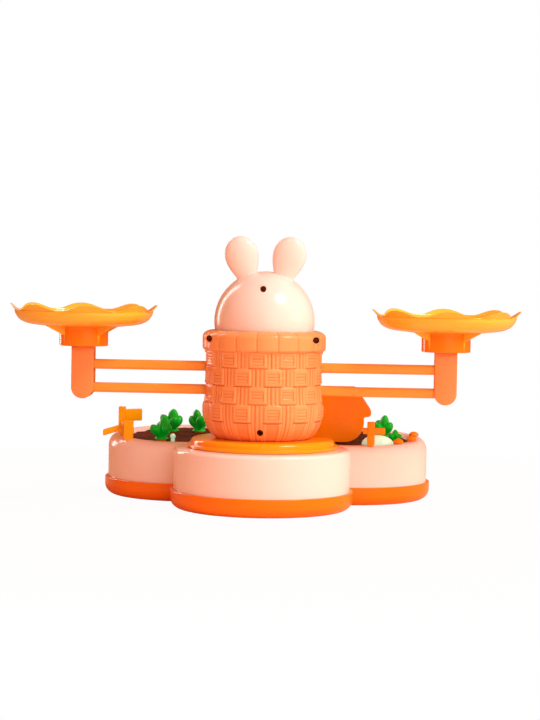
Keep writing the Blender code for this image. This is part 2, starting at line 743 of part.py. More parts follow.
def make_base_fasteners(axis, screw):
    """The screws under the base, those under the deck that hold the disc, and the rubber feet."""
    bearing = FOOT_HEIGHT + BASE_SCREW_DEPTH - GAP
    for index, (x, y) in enumerate(BASE_SCREWS, 1):
        place_screw(f"base_screw_{index}", screw, (x, y, bearing), (0.0, 0.0, 1.0), axis)
    short = make_screw_mesh(DISC_SCREW_LENGTH)
    for name, x in (("disc_screw_left", -DISC_SCREW_X), ("disc_screw_right", DISC_SCREW_X)):
        place_screw(name, short, (x, 0.0, DECK_TOP - TOP_WALL - GAP), (0.0, 0.0, 1.0), axis)
    for index, (x, y) in enumerate(FEET, 1):
        bm = bmesh.new()
        add_rod(bm, FOOT_RADIUS, (x, y, 0.0), (x, y, FOOT_HEIGHT + FOOT_RECESS - GAP), PIVOT_STEPS)
        new_object(f"rubber_foot_{index}", bm, "rubber", axis)


def make_soil_bed(side, axis):
    """A furrowed bed of soil that fills a garden's well, with holes for its carrots, sign and sprouts."""
    bm = bmesh.new()
    add_stack(bm, [garden_ring(side, GAP, SOIL_BOTTOM), garden_ring(side, GAP, 2 * WELL_FLOOR)])
    bed = new_object("left_soil_bed" if side < 0 else "right_soil_bed", bm, "soil brown", axis)

    near = SIDE_LOBE_Y - WELL_RADIUS - FURROW_PITCH
    count = math.ceil((2 * WELL_RADIUS + 2 * FURROW_PITCH) / FURROW_PITCH)
    section = []
    for k in range(2 * count + 1):
        y = near + k * FURROW_PITCH / 2
        section.append((y, soil_height(y) + FURROW_DEPTH / 2 * (1 if k % 2 else -1)))
    sky = 3 * WELL_FLOOR
    section += [(section[-1][0], sky), (near, sky)]
    low_x, high_x = side * SIDE_LOBE_X - 2 * WELL_RADIUS, side * SIDE_LOBE_X + 2 * WELL_RADIUS
    furrows = bmesh.new()
    add_stack(furrows, [[(low_x, y, z) for y, z in section], [(high_x, y, z) for y, z in section]])
    holes = bmesh.new()
    for x, y, scale, _ in CARROTS:
        if x * side > 0:
            add_rod(holes, ROOT_RADIUS * scale + GAP, (x, y, WELL_FLOOR - GAP), (x, y, sky))
    if side < 0:
        x, y = in_garden(side, *BUD_AT)
        add_rod(holes, BUD_STEM_RADIUS + GAP, (x, y, plant_seat(y) - STEM_DEPTH), (x, y, sky))
    else:
        x, y = round_garden(side, -MOUND_INSET, MOUND_ANGLE)
        add_rod(holes, BUD_STEM_RADIUS + GAP, (x, y, plant_seat(y) - STEM_DEPTH), (x, y, sky))
        half = SIGN_TAB_WIDTH / 2 + GAP
        deep = SIGN_THICKNESS / 2 + GAP
        floor = plant_seat(SIGN_Y) - SIGN_TAB_DEPTH - GAP
        add_box(holes, (SIGN_X - half, SIGN_Y - deep, floor), (SIGN_X + half, SIGN_Y + deep, sky))
    combine(bed, helper(f"{bed.name}_furrows", furrows, axis), "DIFFERENCE")
    combine(bed, helper(f"{bed.name}_holes", holes, axis), "DIFFERENCE")


def make_disc(axis):
    """The two-tier pedestal disc, with the hub that the basket's halves clamp. A slot in the hub takes the
    basket's lowest screw boss, which stops the basket from turning."""
    flange_top = DISC_BOTTOM + DISC_FLANGE
    clamp = DISC_TOP + GAP + BASKET_WALL + GAP
    outer = DISC_RADIUS - DISC_WALL - (DISC_RADIUS - DISC_TIER_RADIUS)
    profile = [(DISC_RADIUS, DISC_BOTTOM), (DISC_RADIUS, flange_top - GAP), (DISC_RADIUS - GAP, flange_top)]
    profile += [(DISC_TIER_RADIUS, flange_top + GAP)]
    rounded = (DISC_TIER_RADIUS - DISC_ROUND, DISC_TOP - DISC_ROUND)
    profile += arc(rounded, DISC_ROUND, 0.0, 90.0, 3)
    profile += [
        (HUB_RADIUS, DISC_TOP), (HUB_RADIUS, clamp), (HUB_RADIUS + HUB_CLAMP, clamp),
        (HUB_RADIUS + HUB_CLAMP, clamp + DISC_WALL), (HUB_RADIUS - DISC_WALL, clamp + DISC_WALL),
        (HUB_RADIUS - DISC_WALL, DISC_TOP - DISC_WALL), (outer, DISC_TOP - DISC_WALL), (outer, DISC_BOTTOM),
    ]
    bm = bmesh.new()
    add_turned(bm, profile, DISC_STEPS)
    disc = new_object("pedestal_disc", bm, "tray orange", axis)
    bosses = bmesh.new()
    holes = bmesh.new()
    tip = DECK_TOP - TOP_WALL + DISC_SCREW_LENGTH + GAP
    boss_top = DISC_TOP - DISC_WALL / 2
    for x in (-DISC_SCREW_X, DISC_SCREW_X):
        add_rod(bosses, BOSS_RADIUS, (x, 0.0, DISC_BOTTOM + GAP), (x, 0.0, boss_top))
        add_rod(holes, BORE_RADIUS, (x, 0.0, DISC_BOTTOM - GAP), (x, 0.0, tip))
    slot = BOSS_RADIUS + 2 * GAP
    slot_floor = BASKET_BOTTOM + LOW_HOLE_RISE - slot
    add_box(holes, (-slot, -2 * HUB_RADIUS, slot_floor), (slot, 2 * HUB_RADIUS, clamp + 2 * DISC_WALL))
    combine(disc, helper("disc_bosses", bosses, axis), "UNION")
    combine(disc, helper("disc_holes", holes, axis), "DIFFERENCE")


def basket_profile():
    """The basket's section: outside from the floor's hole up to the rim, and back down the inside."""
    outside = [(HUB_RADIUS + GAP, BASKET_BOTTOM), (BASKET_FOOT_RADIUS, BASKET_BOTTOM)]
    reach = BASKET_RADIUS + BASKET_BULGE - BASKET_FOOT_RADIUS
    for out, up in arc((0.0, 1.0), 1.0, -90.0, 0.0, 4)[1:]:
        outside.append((BASKET_FOOT_RADIUS + reach * out, BASKET_BOTTOM + BULGE_RISE * up))
    outside += [
        (BASKET_RADIUS, BASKET_BOTTOM + TAPER_RISE), (BASKET_RADIUS, RIM_BOTTOM - GAP),
        (RIM_RADIUS - RIM_ROUND / 2, RIM_BOTTOM), (RIM_RADIUS, RIM_BOTTOM + RIM_ROUND),
        (RIM_RADIUS, RIM_TOP - RIM_TOP_DROP),
    ]
    mouth = head_radius_at(RIM_TOP) + 2 * GAP
    across = RIM_RADIUS - mouth - MOUTH_BAND
    for out, up in arc((0.0, 0.0), 1.0, 0.0, 90.0, 3)[1:]:
        outside.append((RIM_RADIUS - across * (1 - out), RIM_TOP - RIM_TOP_DROP * (1 - up)))

    inner = BASKET_RADIUS - BASKET_WALL
    groove = neck_radius() + GAP
    upper, lower = neck_ledges()
    ledge = head_radius_at(upper + BASKET_WALL) + 2 * GAP
    inside = [
        (mouth, RIM_TOP), (mouth, RIM_TOP - BASKET_WALL), (inner, RIM_TOP - BASKET_WALL),
        (inner, upper + BASKET_WALL), (ledge, upper + BASKET_WALL), (ledge, upper), (groove, upper),
        (groove, lower), (ledge, lower), (ledge, lower - BASKET_WALL), (inner, lower - BASKET_WALL),
    ]
    floor = BASKET_BOTTOM + BASKET_WALL
    for out, up in arc((0.0, 1.0), 1.0, 0.0, -90.0, 2):
        radius = BASKET_FOOT_RADIUS + (inner - BASKET_FOOT_RADIUS) * out
        inside.append((radius, floor + (BULGE_RISE - BASKET_WALL) * up))
    inside.append((HUB_RADIUS + GAP, floor))
    return outside + inside


def neck_radius():
    """The flange at the foot of the head, caught inside the basket's rim."""
    return HEAD_RADIUS + NECK_FLANGE


def neck_ledges():
    """The upper ledge's underside and the lower one's top, which hold the head's flange between them."""
    upper = RIM_TOP - RIM_HOLE_DROP - BOSS_RADIUS - BASKET_WALL / 3
    return upper, upper - HEAD_WALL - 2 * GAP


def head_radius_at(z):
    """The larger shell's radius at a height."""
    return math.sqrt(FRONT_HEAD_RADIUS**2 - (z - HEAD_Z) ** 2)


def shell_screws():
    """X and Z of the basket's three screws."""
    rim = RIM_TOP - RIM_HOLE_DROP
    return ((-RIM_HOLE_X, rim), (RIM_HOLE_X, rim), (0.0, BASKET_BOTTOM + LOW_HOLE_RISE))


def basket_radius_at(z):
    """The basket's inner radius, taken a little small so that a boss reaches into the wall."""
    if z > BASKET_BOTTOM + BULGE_RISE:
        return BASKET_RADIUS - BASKET_WALL / 2
    return BASKET_FOOT_RADIUS + BASKET_WALL


def make_basket(axis, screw):
    """The two basket shells, their screw and pivot bosses, and the windows that the bars pass through."""
    swing = BASKET_RADIUS * math.sin(math.radians(BEAM_TILT))
    window_half = swing + BAR_HEIGHT / 2 + SIDE_PLAY
    for name, side in (("basket_back_shell", -1), ("basket_front_shell", 1)):
        bm = bmesh.new()
        add_half_shell(bm, basket_profile(), BASKET_STEPS // 2, side)
        shell = new_object(name, bm, "basket orange", axis)
        bosses = bmesh.new()
        holes = bmesh.new()
        for x, z in shell_screws():
            wall = math.sqrt(basket_radius_at(z) ** 2 - x**2)
            add_rod(bosses, BOSS_RADIUS, (x, side * 2 * GAP, z), (x, side * wall, z))
            bearing = -SEAT_DEPTH
            if side < 0:
                profile = (
                    (0.0, 0.0), (BORE_RADIUS, 0.0), (BORE_RADIUS, SEAT_DEPTH),
                    (BASKET_HOLE_RADIUS, SEAT_DEPTH), (BASKET_HOLE_RADIUS, 2 * RIM_RADIUS),
                    (0.0, 2 * RIM_RADIUS),
                )
                add_turned(holes, profile, SMALL_STEPS, tilt=along((0.0, -1.0, 0.0), (x, 0.0, z)))
                label = {-RIM_HOLE_X: "left", RIM_HOLE_X: "right", 0.0: "low"}[x]
                place_screw(f"basket_screw_{label}", screw, (x, bearing - GAP, z), (0.0, 1.0, 0.0), axis)
            else:
                deep = SCREW_LENGTH - SEAT_DEPTH + GAP
                add_rod(holes, BORE_RADIUS, (x, -GAP, z), (x, deep, z))
        face = BAR_DEPTH / 2 + SIDE_PLAY
        for z in (UPPER_PIVOT_Z, LOWER_PIVOT_Z):
            wall = BASKET_RADIUS - BASKET_WALL / 2
            add_rod(bosses, BOSS_RADIUS, (0.0, side * face, z), (0.0, side * wall, z))
            deep = PIN_LENGTH / 2 + GAP
            add_rod(holes, PIN_RADIUS + PIVOT_GAP, (0.0, 0.0, z), (0.0, side * deep, z), PIVOT_STEPS)
        windows = bmesh.new()
        low = (-2 * RIM_RADIUS, -WINDOW_DEPTH / 2, LOWER_PIVOT_Z - window_half)
        high = (-BASKET_RADIUS / 2, WINDOW_DEPTH / 2, UPPER_PIVOT_Z + window_half)
        add_box(windows, low, high)
        add_box(windows, (-high[0], low[1], low[2]), (-low[0], high[1], high[2]))
        combine(shell, helper(f"{name}_bosses", bosses, axis), "UNION")
        combine(shell, helper(f"{name}_holes", holes, axis), "DIFFERENCE")
        combine(shell, helper(f"{name}_windows", windows, axis), "DIFFERENCE")


def make_head(axis, screw):
    """The head's two shells, the front one a little larger, with the screw that joins them."""
    bearing = SEAT_DEPTH
    hole_z = HEAD_Z + HEAD_HOLE_RISE
    flange_top = neck_ledges()[0] - GAP
    flange_low = flange_top - HEAD_WALL
    halves = (("head_back_shell", -1, HEAD_RADIUS), ("head_front_shell", 1, FRONT_HEAD_RADIUS))
    for name, side, radius in halves:
        start = math.degrees(math.asin((flange_top - HEAD_Z) / radius))
        within = radius - HEAD_WALL
        inner_start = math.degrees(math.asin((flange_top - HEAD_Z) / within))
        outer = arc((0.0, HEAD_Z), radius, start, 90.0, HEAD_RISE_STEPS)
        inner = arc((0.0, HEAD_Z), within, 90.0, inner_start, HEAD_RISE_STEPS - 1)
        profile = [(0.0, outer[-1][1])] + outer[:-1][::-1]
        profile += [(neck_radius(), flange_top), (neck_radius(), flange_low), (inner[-1][0], flange_low)]
        profile += inner[1:][::-1] + [(0.0, inner[0][1])]
        bm = bmesh.new()
        add_half_shell(bm, profile, HEAD_STEPS // 2, side)
        shell = new_object(name, bm, "cream", axis)
        bosses = bmesh.new()
        holes = bmesh.new()
        wall = math.sqrt((radius - HEAD_WALL / 2) ** 2 - HEAD_HOLE_RISE**2)
        add_rod(bosses, BOSS_RADIUS, (0.0, side * 2 * GAP, hole_z), (0.0, side * wall, hole_z))
        if side < 0:
            profile = (
                (0.0, 0.0), (BORE_RADIUS, 0.0), (BORE_RADIUS, bearing), (HEAD_HOLE_RADIUS, bearing),
                (HEAD_HOLE_RADIUS, 2 * HEAD_RADIUS), (0.0, 2 * HEAD_RADIUS),
            )
            add_turned(holes, profile, SMALL_STEPS, tilt=along((0.0, -1.0, 0.0), (0.0, 0.0, hole_z)))
            place_screw("head_screw", screw, (0.0, -bearing - GAP, hole_z), (0.0, 1.0, 0.0), axis)
        else:
            deep = SCREW_LENGTH - bearing + GAP
            add_rod(holes, BORE_RADIUS, (0.0, -GAP, hole_z), (0.0, deep, hole_z))
            for x, rise, _, _ in face_pieces():
                start, end = face_point(x, rise, radius / 2), face_point(x, rise, 2 * radius)
                add_rod(holes, FACE_PEG_RADIUS + GAP, start, end)
        for lean in (-1, 1):
            start, end = ear_point(lean, -2 * EAR_PEG_LENGTH), ear_point(lean, EAR_LENGTH / 2)
            add_rod(holes, EAR_PEG_RADIUS + GAP, start, end)
        combine(shell, helper(f"{name}_bosses", bosses, axis), "UNION")
        combine(shell, helper(f"{name}_holes", holes, axis), "DIFFERENCE")


def ear_point(lean, distance):
    """A point on an ear's middle line, measured up from where it leaves the head."""
    angle = math.radians(EAR_LEAN)
    root_z = HEAD_Z + math.sqrt(HEAD_RADIUS**2 - EAR_X**2)
    return Vector((lean * (EAR_X + distance * math.sin(angle)), 0.0, root_z + distance * math.cos(angle)))


def head_seat_profile():
    """Both head shells' outside with a clearance, as (radius, depth) points to be turned about the Y axis."""
    back, front = HEAD_RADIUS + GAP, FRONT_HEAD_RADIUS + GAP
    near = arc((0.0, -GAP / 4), back, -90.0, 0.0, 12)[1:]
    far = arc((0.0, -GAP / 4), front, 0.0, 90.0, 12)[:-1]
    return [(0.0, -back - GAP / 4)] + near + far + [(0.0, front - GAP / 4)]


def make_ears(axis):
    """Egg-shaped ears, cut to sit on the head, each with a peg that the head's shells clamp."""
    root = -EAR_ROOT_DEPTH
    widest = EAR_LENGTH - EAR_CROWN
    profile = [(0.0, root)]
    for k in range(3):
        s = root + (widest - root) * k / 3
        share = math.sin(max(0.0, s) / widest * math.pi / 2)
        profile.append((EAR_ROOT_HALF_WIDTH + (EAR_HALF_WIDTH - EAR_ROOT_HALF_WIDTH) * share, s))
    crown = arc((0.0, 0.0), 1.0, 0.0, 90.0, 4)
    tip = [(EAR_HALF_WIDTH * c, widest + (EAR_LENGTH - widest) * s) for c, s in crown]
    profile += tip[:-1] + [(0.0, EAR_LENGTH)]
    for name, lean in (("left_ear", -1), ("right_ear", 1)):
        flat = Matrix.Diagonal((1.0, EAR_HALF_DEPTH / EAR_HALF_WIDTH, 1.0, 1.0))
        turn = Matrix.Rotation(math.radians(lean * EAR_LEAN), 4, "Y")
        bm = bmesh.new()
        add_turned(bm, profile, EAR_STEPS, tilt=Matrix.Translation(ear_point(lean, 0.0)) @ turn @ flat)
        ear = new_object(name, bm, "cream", axis)
        seat = bmesh.new()
        add_turned(seat, head_seat_profile(), 48, tilt=along((0.0, 1.0, 0.0), (0.0, 0.0, HEAD_Z)))
        combine(ear, helper(f"{name}_seat", seat, axis), "DIFFERENCE")
        peg = bmesh.new()
        add_rod(peg, EAR_PEG_RADIUS, ear_point(lean, -EAR_PEG_LENGTH), ear_point(lean, EAR_LENGTH / 4))
        combine(ear, helper(f"{name}_peg", peg, axis), "UNION")


def face_pieces():
    """X, height over the head's centre and half sizes of the eyes and the nose."""
    return (
        (-EYE_X, EYE_RISE, EYE_HALF_WIDTH, EYE_HALF_HEIGHT),
        (EYE_X, EYE_RISE, EYE_HALF_WIDTH, EYE_HALF_HEIGHT),
        (0.0, NOSE_RISE, NOSE_HALF_WIDTH, NOSE_HALF_HEIGHT),
    )


def face_point(x, rise, distance):
    """A point out from the head's centre, through the front shell where a face piece sits."""
    depth = math.sqrt(FRONT_HEAD_RADIUS**2 - x**2 - rise**2)
    direction = Vector((x, depth, rise)).normalized()
    return Vector((0.0, 0.0, HEAD_Z)) + direction * distance


def make_face(axis):
    """Two oval eyes and a nose, each a low dome with a peg through the front shell."""
    for name, (x, rise, half_width, half_height) in zip(("left_eye", "right_eye", "nose"), face_pieces()):
        seat = face_point(x, rise, FRONT_HEAD_RADIUS + GAP)
        outward = (seat - Vector((0.0, 0.0, HEAD_Z))).normalized()
        turn = outward.to_track_quat("Y", "Z").to_matrix().to_4x4()
        bm = bmesh.new()
        add_ball(bm, (half_width, FACE_PROUD, half_height), seat, SMALL_STEPS, 6, turn)
        piece = new_object(name, bm, "pink" if name == "nose" else "black", axis)
        ball = bmesh.new()
        add_ball(ball, (FRONT_HEAD_RADIUS + GAP,) * 3, (0.0, 0.0, HEAD_Z), 48, 24)
        combine(piece, helper(f"{name}_seat", ball, axis), "DIFFERENCE")
        peg = bmesh.new()
        peg_end = face_point(x, rise, FRONT_HEAD_RADIUS - HEAD_WALL)
        add_rod(peg, FACE_PEG_RADIUS, peg_end, seat + outward * GAP, SCREW_STEPS)
        combine(piece, helper(f"{name}_peg", peg, axis), "UNION")


def make_bar(name, z, axis):
    """One bar of the balance: round ends with pegs for the posts and a bored boss in the middle."""
    half = BAR_HEIGHT / 2
    outline = arc((PIVOT_X, z), half, -90.0, 90.0, 8) + arc((-PIVOT_X, z), half, 90.0, 270.0, 8)
    bm = bmesh.new()
    add_plate(bm, outline, -BAR_DEPTH / 2, BAR_DEPTH / 2)
    bar = new_object(name, bm, "bar orange", axis, (0.0, 0.0, z))
    bevel = bar.modifiers.new("round_edges", "BEVEL")
    bevel.width = BAR_ROUND
    bevel.segments = 1
    bevel.limit_method = "ANGLE"
    bevel.angle_limit = math.radians(60)
    added = bmesh.new()
    boss_reach = BAR_DEPTH / 2 + SIDE_PLAY / 2
    add_rod(added, BEAM_BOSS_RADIUS, (0.0, -boss_reach, z), (0.0, boss_reach, z), PIVOT_STEPS)
    for x in (-PIVOT_X, PIVOT_X):
        reach = BAR_DEPTH / 2 + PEG_LENGTH
        add_rod(added, PEG_RADIUS, (x, -reach, z), (x, reach, z))
    bore = bmesh.new()
    add_rod(bore, PIN_RADIUS + PIVOT_GAP, (0.0, -BAR_DEPTH, z), (0.0, BAR_DEPTH, z), PIVOT_STEPS)
    combine(bar, helper(f"{name}_boss_and_pegs", added, axis), "UNION")
    combine(bar, helper(f"{name}_bore", bore, axis), "DIFFERENCE")
    return bar


def make_pivot_pin(name, z, axis):
    """A pin across the basket that a bar turns on."""
    bm = bmesh.new()
    add_rod(bm, PIN_RADIUS, (0.0, -PIN_LENGTH / 2, z), (0.0, PIN_LENGTH / 2, z), PIVOT_STEPS)
    new_object(name, bm, "steel", axis)


def make_post(name, side, axis):
    """A channel, open towards the basket, with a round lower end and a plug for its tray."""
    x = side * PIVOT_X
    half = POST_WIDTH / 2
    outline = arc((x, LOWER_PIVOT_Z), half, 180.0, 360.0, 12) + [(x + half, POST_TOP), (x - half, POST_TOP)]
    bm = bmesh.new()
    add_plate(bm, outline, -POST_DEPTH / 2, POST_DEPTH / 2)
    post = new_object(name, bm, "basket orange", axis, (x, 0.0, UPPER_PIVOT_Z))
    plug = bmesh.new()
    plug_foot = POST_TOP - POST_CAP / 2
    add_rod(plug, PLUG_RADIUS, (x, 0.0, plug_foot), (x, 0.0, POST_TOP + PLUG_HEIGHT), PIVOT_STEPS)
    channel = bmesh.new()
    inside = half - POST_WALL
    beyond = x - side * POST_WIDTH
    ceiling = POST_TOP - POST_CAP
    swing = half * math.sin(math.radians(BEAM_TILT))
    entry_low = LOWER_PIVOT_Z - BAR_HEIGHT / 2 - swing - SIDE_PLAY
    lower_end = arc((x, LOWER_PIVOT_Z), inside, -90.0, 0.0, 6)
    if side < 0:
        lower_end = arc((x, LOWER_PIVOT_Z), inside, -90.0, -180.0, 6)
    section = lower_end + [(x + side * inside, ceiling), (beyond, ceiling)]
    section += [(beyond, entry_low), (x, entry_low)]
    reach = BAR_DEPTH / 2 + SIDE_PLAY
    add_plate(channel, section, -reach, reach)
    sockets = bmesh.new()
    for z in (UPPER_PIVOT_Z, LOWER_PIVOT_Z):
        deep = BAR_DEPTH / 2 + PEG_LENGTH + GAP
        add_rod(sockets, PEG_RADIUS + PIVOT_GAP, (x, -deep, z), (x, deep, z))
    combine(post, helper(f"{name}_plug", plug, axis), "UNION")
    combine(post, helper(f"{name}_channel", channel, axis), "DIFFERENCE")
    combine(post, helper(f"{name}_sockets", sockets, axis), "DIFFERENCE")
    return post


def make_tray_mesh():
    """A scalloped tray about the origin, its collar's foot at height 0, with a socket for the post's plug. Its
    lobes stand out from a round crease, and the notches between them come down to it."""
    floor = COLLAR_HEIGHT
    shoulder = floor + FLOOR_RISE
    corner = shoulder + CORNER_RISE
    crease = corner + CREASE_RISE
    brim = crease + BRIM_RISE
    below = [
        (0.0, floor), (SOCKET_RADIUS, floor), (SOCKET_RADIUS, 0.0), (SOCKET_RADIUS + SOCKET_WALL, 0.0),
        (SOCKET_RADIUS + SOCKET_WALL, floor), (COLLAR_RADIUS - SOCKET_WALL, floor),
        (COLLAR_RADIUS - SOCKET_WALL, 0.0), (COLLAR_RADIUS, 0.0), (COLLAR_RADIUS, floor),
        (TRAY_FLOOR_RADIUS, floor), (TRAY_SHOULDER_RADIUS, shoulder), (TRAY_CORNER_RADIUS, corner),
        (TRAY_CREASE_RADIUS, crease),
    ]
    edge = [(TRAY_RADIUS, brim), (TRAY_RADIUS - TRAY_WALL * 3 / 4, brim)]
    above = [
        (TRAY_CREASE_RADIUS - TRAY_WALL, crease), (TRAY_CORNER_RADIUS - TRAY_WALL / 2, corner + TRAY_WALL),
        (TRAY_SHOULDER_RADIUS, shoulder + TRAY_WALL), (TRAY_FLOOR_RADIUS, floor + TRAY_WALL), (0.0, floor + TRAY_WALL),
    ]

    def scallop(index, angle):
        if not len(below) <= index < len(below) + len(edge):
            return 0.0, 0.0
        wave = math.cos(TRAY_LOBES * angle)
        return SCALLOP_OUT * wave, SCALLOP * wave

    bm = bmesh.new()
    add_turned(bm, below + edge + above, TRAY_STEPS, scallop)
    return bm


def make_tray(name, side, axis):
    """A tray on its post, with four gussets between its collar and its floor."""
    x = side * PIVOT_X
    bm = make_tray_mesh()
    spin = Matrix.Rotation(math.radians(LEFT_TRAY_TURN if side < 0 else 0.0), 4, "Z")
    bmesh.ops.transform(bm, matrix=Matrix.Translation((x, 0.0, TRAY_BOTTOM)) @ spin, verts=bm.verts)
    tray = new_object(name, bm, "tray orange", axis, (x, 0.0, TRAY_BOTTOM))
    gussets = bmesh.new()
    slope = FLOOR_RISE / (TRAY_SHOULDER_RADIUS - TRAY_FLOOR_RADIUS)
    into = TRAY_WALL / 2
    start = COLLAR_RADIUS - SOCKET_WALL / 2
    tip = COLLAR_HEIGHT + (GUSSET_REACH - TRAY_FLOOR_RADIUS) * slope
    outline = (
        (start, COLLAR_HEIGHT - GUSSET_DROP), (COLLAR_RADIUS, COLLAR_HEIGHT - GUSSET_DROP),
        (GUSSET_REACH, tip + into / 3), (GUSSET_REACH, tip + into),
        (TRAY_FLOOR_RADIUS, COLLAR_HEIGHT + into), (start, COLLAR_HEIGHT + into),
    )
    half = GUSSET_THICKNESS / 2
    for k in range(4):
        plate = bmesh.new()
        add_plate(plate, outline, -half, half)
        turn = Matrix.Rotation(math.radians(45 + 90 * k), 4, "Z")
        place = Matrix.Translation((x, 0.0, TRAY_BOTTOM)) @ turn
        bmesh.ops.transform(plate, matrix=place, verts=plate.verts)
        bmesh.ops.recalc_face_normals(plate, faces=plate.faces)
        mesh = bpy.data.meshes.new("gusset")
        plate.to_mesh(mesh)
        plate.free()
        gussets.from_mesh(mesh)
    combine(tray, helper(f"{name}_gussets", gussets, axis), "UNION")
    return tray


def make_leaf_mesh(axis):
    """A crown with four fat leaves, its foot at the origin, as one closed mesh that every carrot shares."""
    bm = bmesh.new()
    add_rod(bm, CROWN_RADIUS, (0.0, 0.0, 0.0), (0.0, 0.0, CROWN_HEIGHT))
    crown = new_object("leaf_crown", bm, "leaf green", axis)
    tools = []
    for index, (lean, turn, share) in enumerate(LEAVES):
        leaf = bmesh.new()
        half = LEAF_LENGTH * share / 2
        pose = Matrix.Rotation(math.radians(turn), 4, "Z") @ Matrix.Rotation(math.radians(lean), 4, "Y")
        centre = pose @ Vector((0.0, 0.0, half + CROWN_HEIGHT / 4))
        add_ball(leaf, (LEAF_HALF_DEPTH, LEAF_HALF_WIDTH, half), centre, 7, 5, pose)
        tool = helper(f"leaf_{index}", leaf, axis)
        combine(crown, tool, "UNION")
        tools.append(tool)
    trim = bmesh.new()
    add_box(trim, (-LEAF_LENGTH, -LEAF_LENGTH, -LEAF_LENGTH), (LEAF_LENGTH, LEAF_LENGTH, 0.0))
    below = helper("leaf_trim", trim, axis)
    combine(crown, below, "DIFFERENCE")
    bpy.context.view_layer.update()
    graph = bpy.context.evaluated_depsgraph_get()
    mesh = bpy.data.meshes.new_from_object(crown.evaluated_get(graph))
    mesh.name = "carrot_leaves"
    for obj in (crown, below, *tools):
        bpy.data.objects.remove(obj, do_unlink=True)
    return mesh


def make_carrots(axis):
    """Carrots that pull out of the soil: a root in its hole, and leaves that rest on the soil."""
    leaves = make_leaf_mesh(axis)
    for index, (x, y, scale, turn) in enumerate(CARROTS, 1):
        seat = (x, y, plant_seat(y))
        spin = Matrix.Rotation(math.radians(turn), 4, "Z") @ Matrix.Scale(scale, 4)
        top = leaves.copy()
        top.transform(spin)
        green = link_mesh(f"carrot_{index}_leaves", top, "leaf green", axis, seat)
        reach = ROOT_RADIUS * scale
        length = ROOT_LENGTH * scale
        profile = [(0.0, -GAP), (reach, -GAP)]
        profile += [(reach * wide, -length * deep) for wide, deep in ROOT_SHAPE] + [(0.0, -length)]
        bm = bmesh.new()
        add_turned(bm, profile, SMALL_STEPS, tilt=Matrix.Translation(seat))
        root = new_object(f"carrot_{index}_root", bm, "carrot orange", axis, seat)
        attach(root, green)


def make_sign(axis):
    """A plain house-shaped board that stands in the right soil bed by a tab."""
    foot = plant_seat(SIGN_Y)
    low = foot + SIGN_CORNER
    right = arc((SIGN_X + SIGN_HALF_WIDTH - SIGN_CORNER, low), SIGN_CORNER, -90.0, 0.0, 6)
    right += [
        (SIGN_X + SIGN_HALF_WIDTH, foot + SIGN_EAVE_RISE),
        (SIGN_X + SIGN_HALF_WIDTH + SIGN_EAVE_OUT - SIGN_ROUND, foot + SIGN_EAVE_RISE),
        (SIGN_X + SIGN_HALF_WIDTH + SIGN_EAVE_OUT, foot + SIGN_EAVE_TIP_RISE),
        (SIGN_X + SIGN_TOP_HALF_WIDTH + SIGN_ROUND, foot + SIGN_HEIGHT - SIGN_ROUND),
        (SIGN_X + SIGN_TOP_HALF_WIDTH - SIGN_ROUND, foot + SIGN_HEIGHT),
    ]
    left = [(2 * SIGN_X - x, z) for x, z in reversed(right)]
    half = SIGN_TAB_WIDTH / 2
    tab = [(SIGN_X - half, foot), (SIGN_X - half, foot - SIGN_TAB_DEPTH)]
    tab += [(SIGN_X + half, foot - SIGN_TAB_DEPTH), (SIGN_X + half, foot)]
    bm = bmesh.new()
    add_plate(bm, right + left + tab, SIGN_Y - SIGN_THICKNESS / 2, SIGN_Y + SIGN_THICKNESS / 2)
    new_object("house_sign", bm, "sign orange", axis)


def rim_top(y):
    """The height of the rim's flat band at a given depth."""
    return DECK_TOP + rim_rise(y)


def make_fence(name, posts, rails, colour, axis):
    """A fence of posts, each (x, y, height), and rails, each (start, end, low, high, fall to the end)."""
    pieces = []
    for x, y, height in posts:
        half, deep = FENCE_BAR / 2, FENCE_DEPTH / 2
        foot = rim_top(y) + 2 * GAP
        post = bmesh.new()
        add_box(post, (x - half, y - deep, foot), (x + half, y + deep, foot + height))
        pieces.append(post)
        peg = bmesh.new()
        add_rod(peg, FENCE_PEG_RADIUS, (x, y, foot - DOME_PEG_LENGTH), (x, y, foot + FENCE_BAR))
        pieces.append(peg)
    for start, end, low, high, fall in rails:
        rail = bmesh.new()
        line = Vector((end[0] - start[0], end[1] - start[1], 0.0))
        width = line.normalized().cross(Vector((0.0, 0.0, 1.0))) * FENCE_RAIL_DEPTH / 2
        corners = [Vector((*start, 0.0)) - width, Vector((*start, 0.0)) + width]
        corners += [Vector((*end, -fall)) + width, Vector((*end, -fall)) - width]
        add_stack(rail, [[c + Vector((0.0, 0.0, level)) for c in corners] for level in (low, high)])
        pieces.append(rail)
    fence = new_object(name, pieces[0], colour, axis)
    for index, piece in enumerate(pieces[1:]):
        combine(fence, helper(f"{name}_piece_{index}", piece, axis), "UNION")


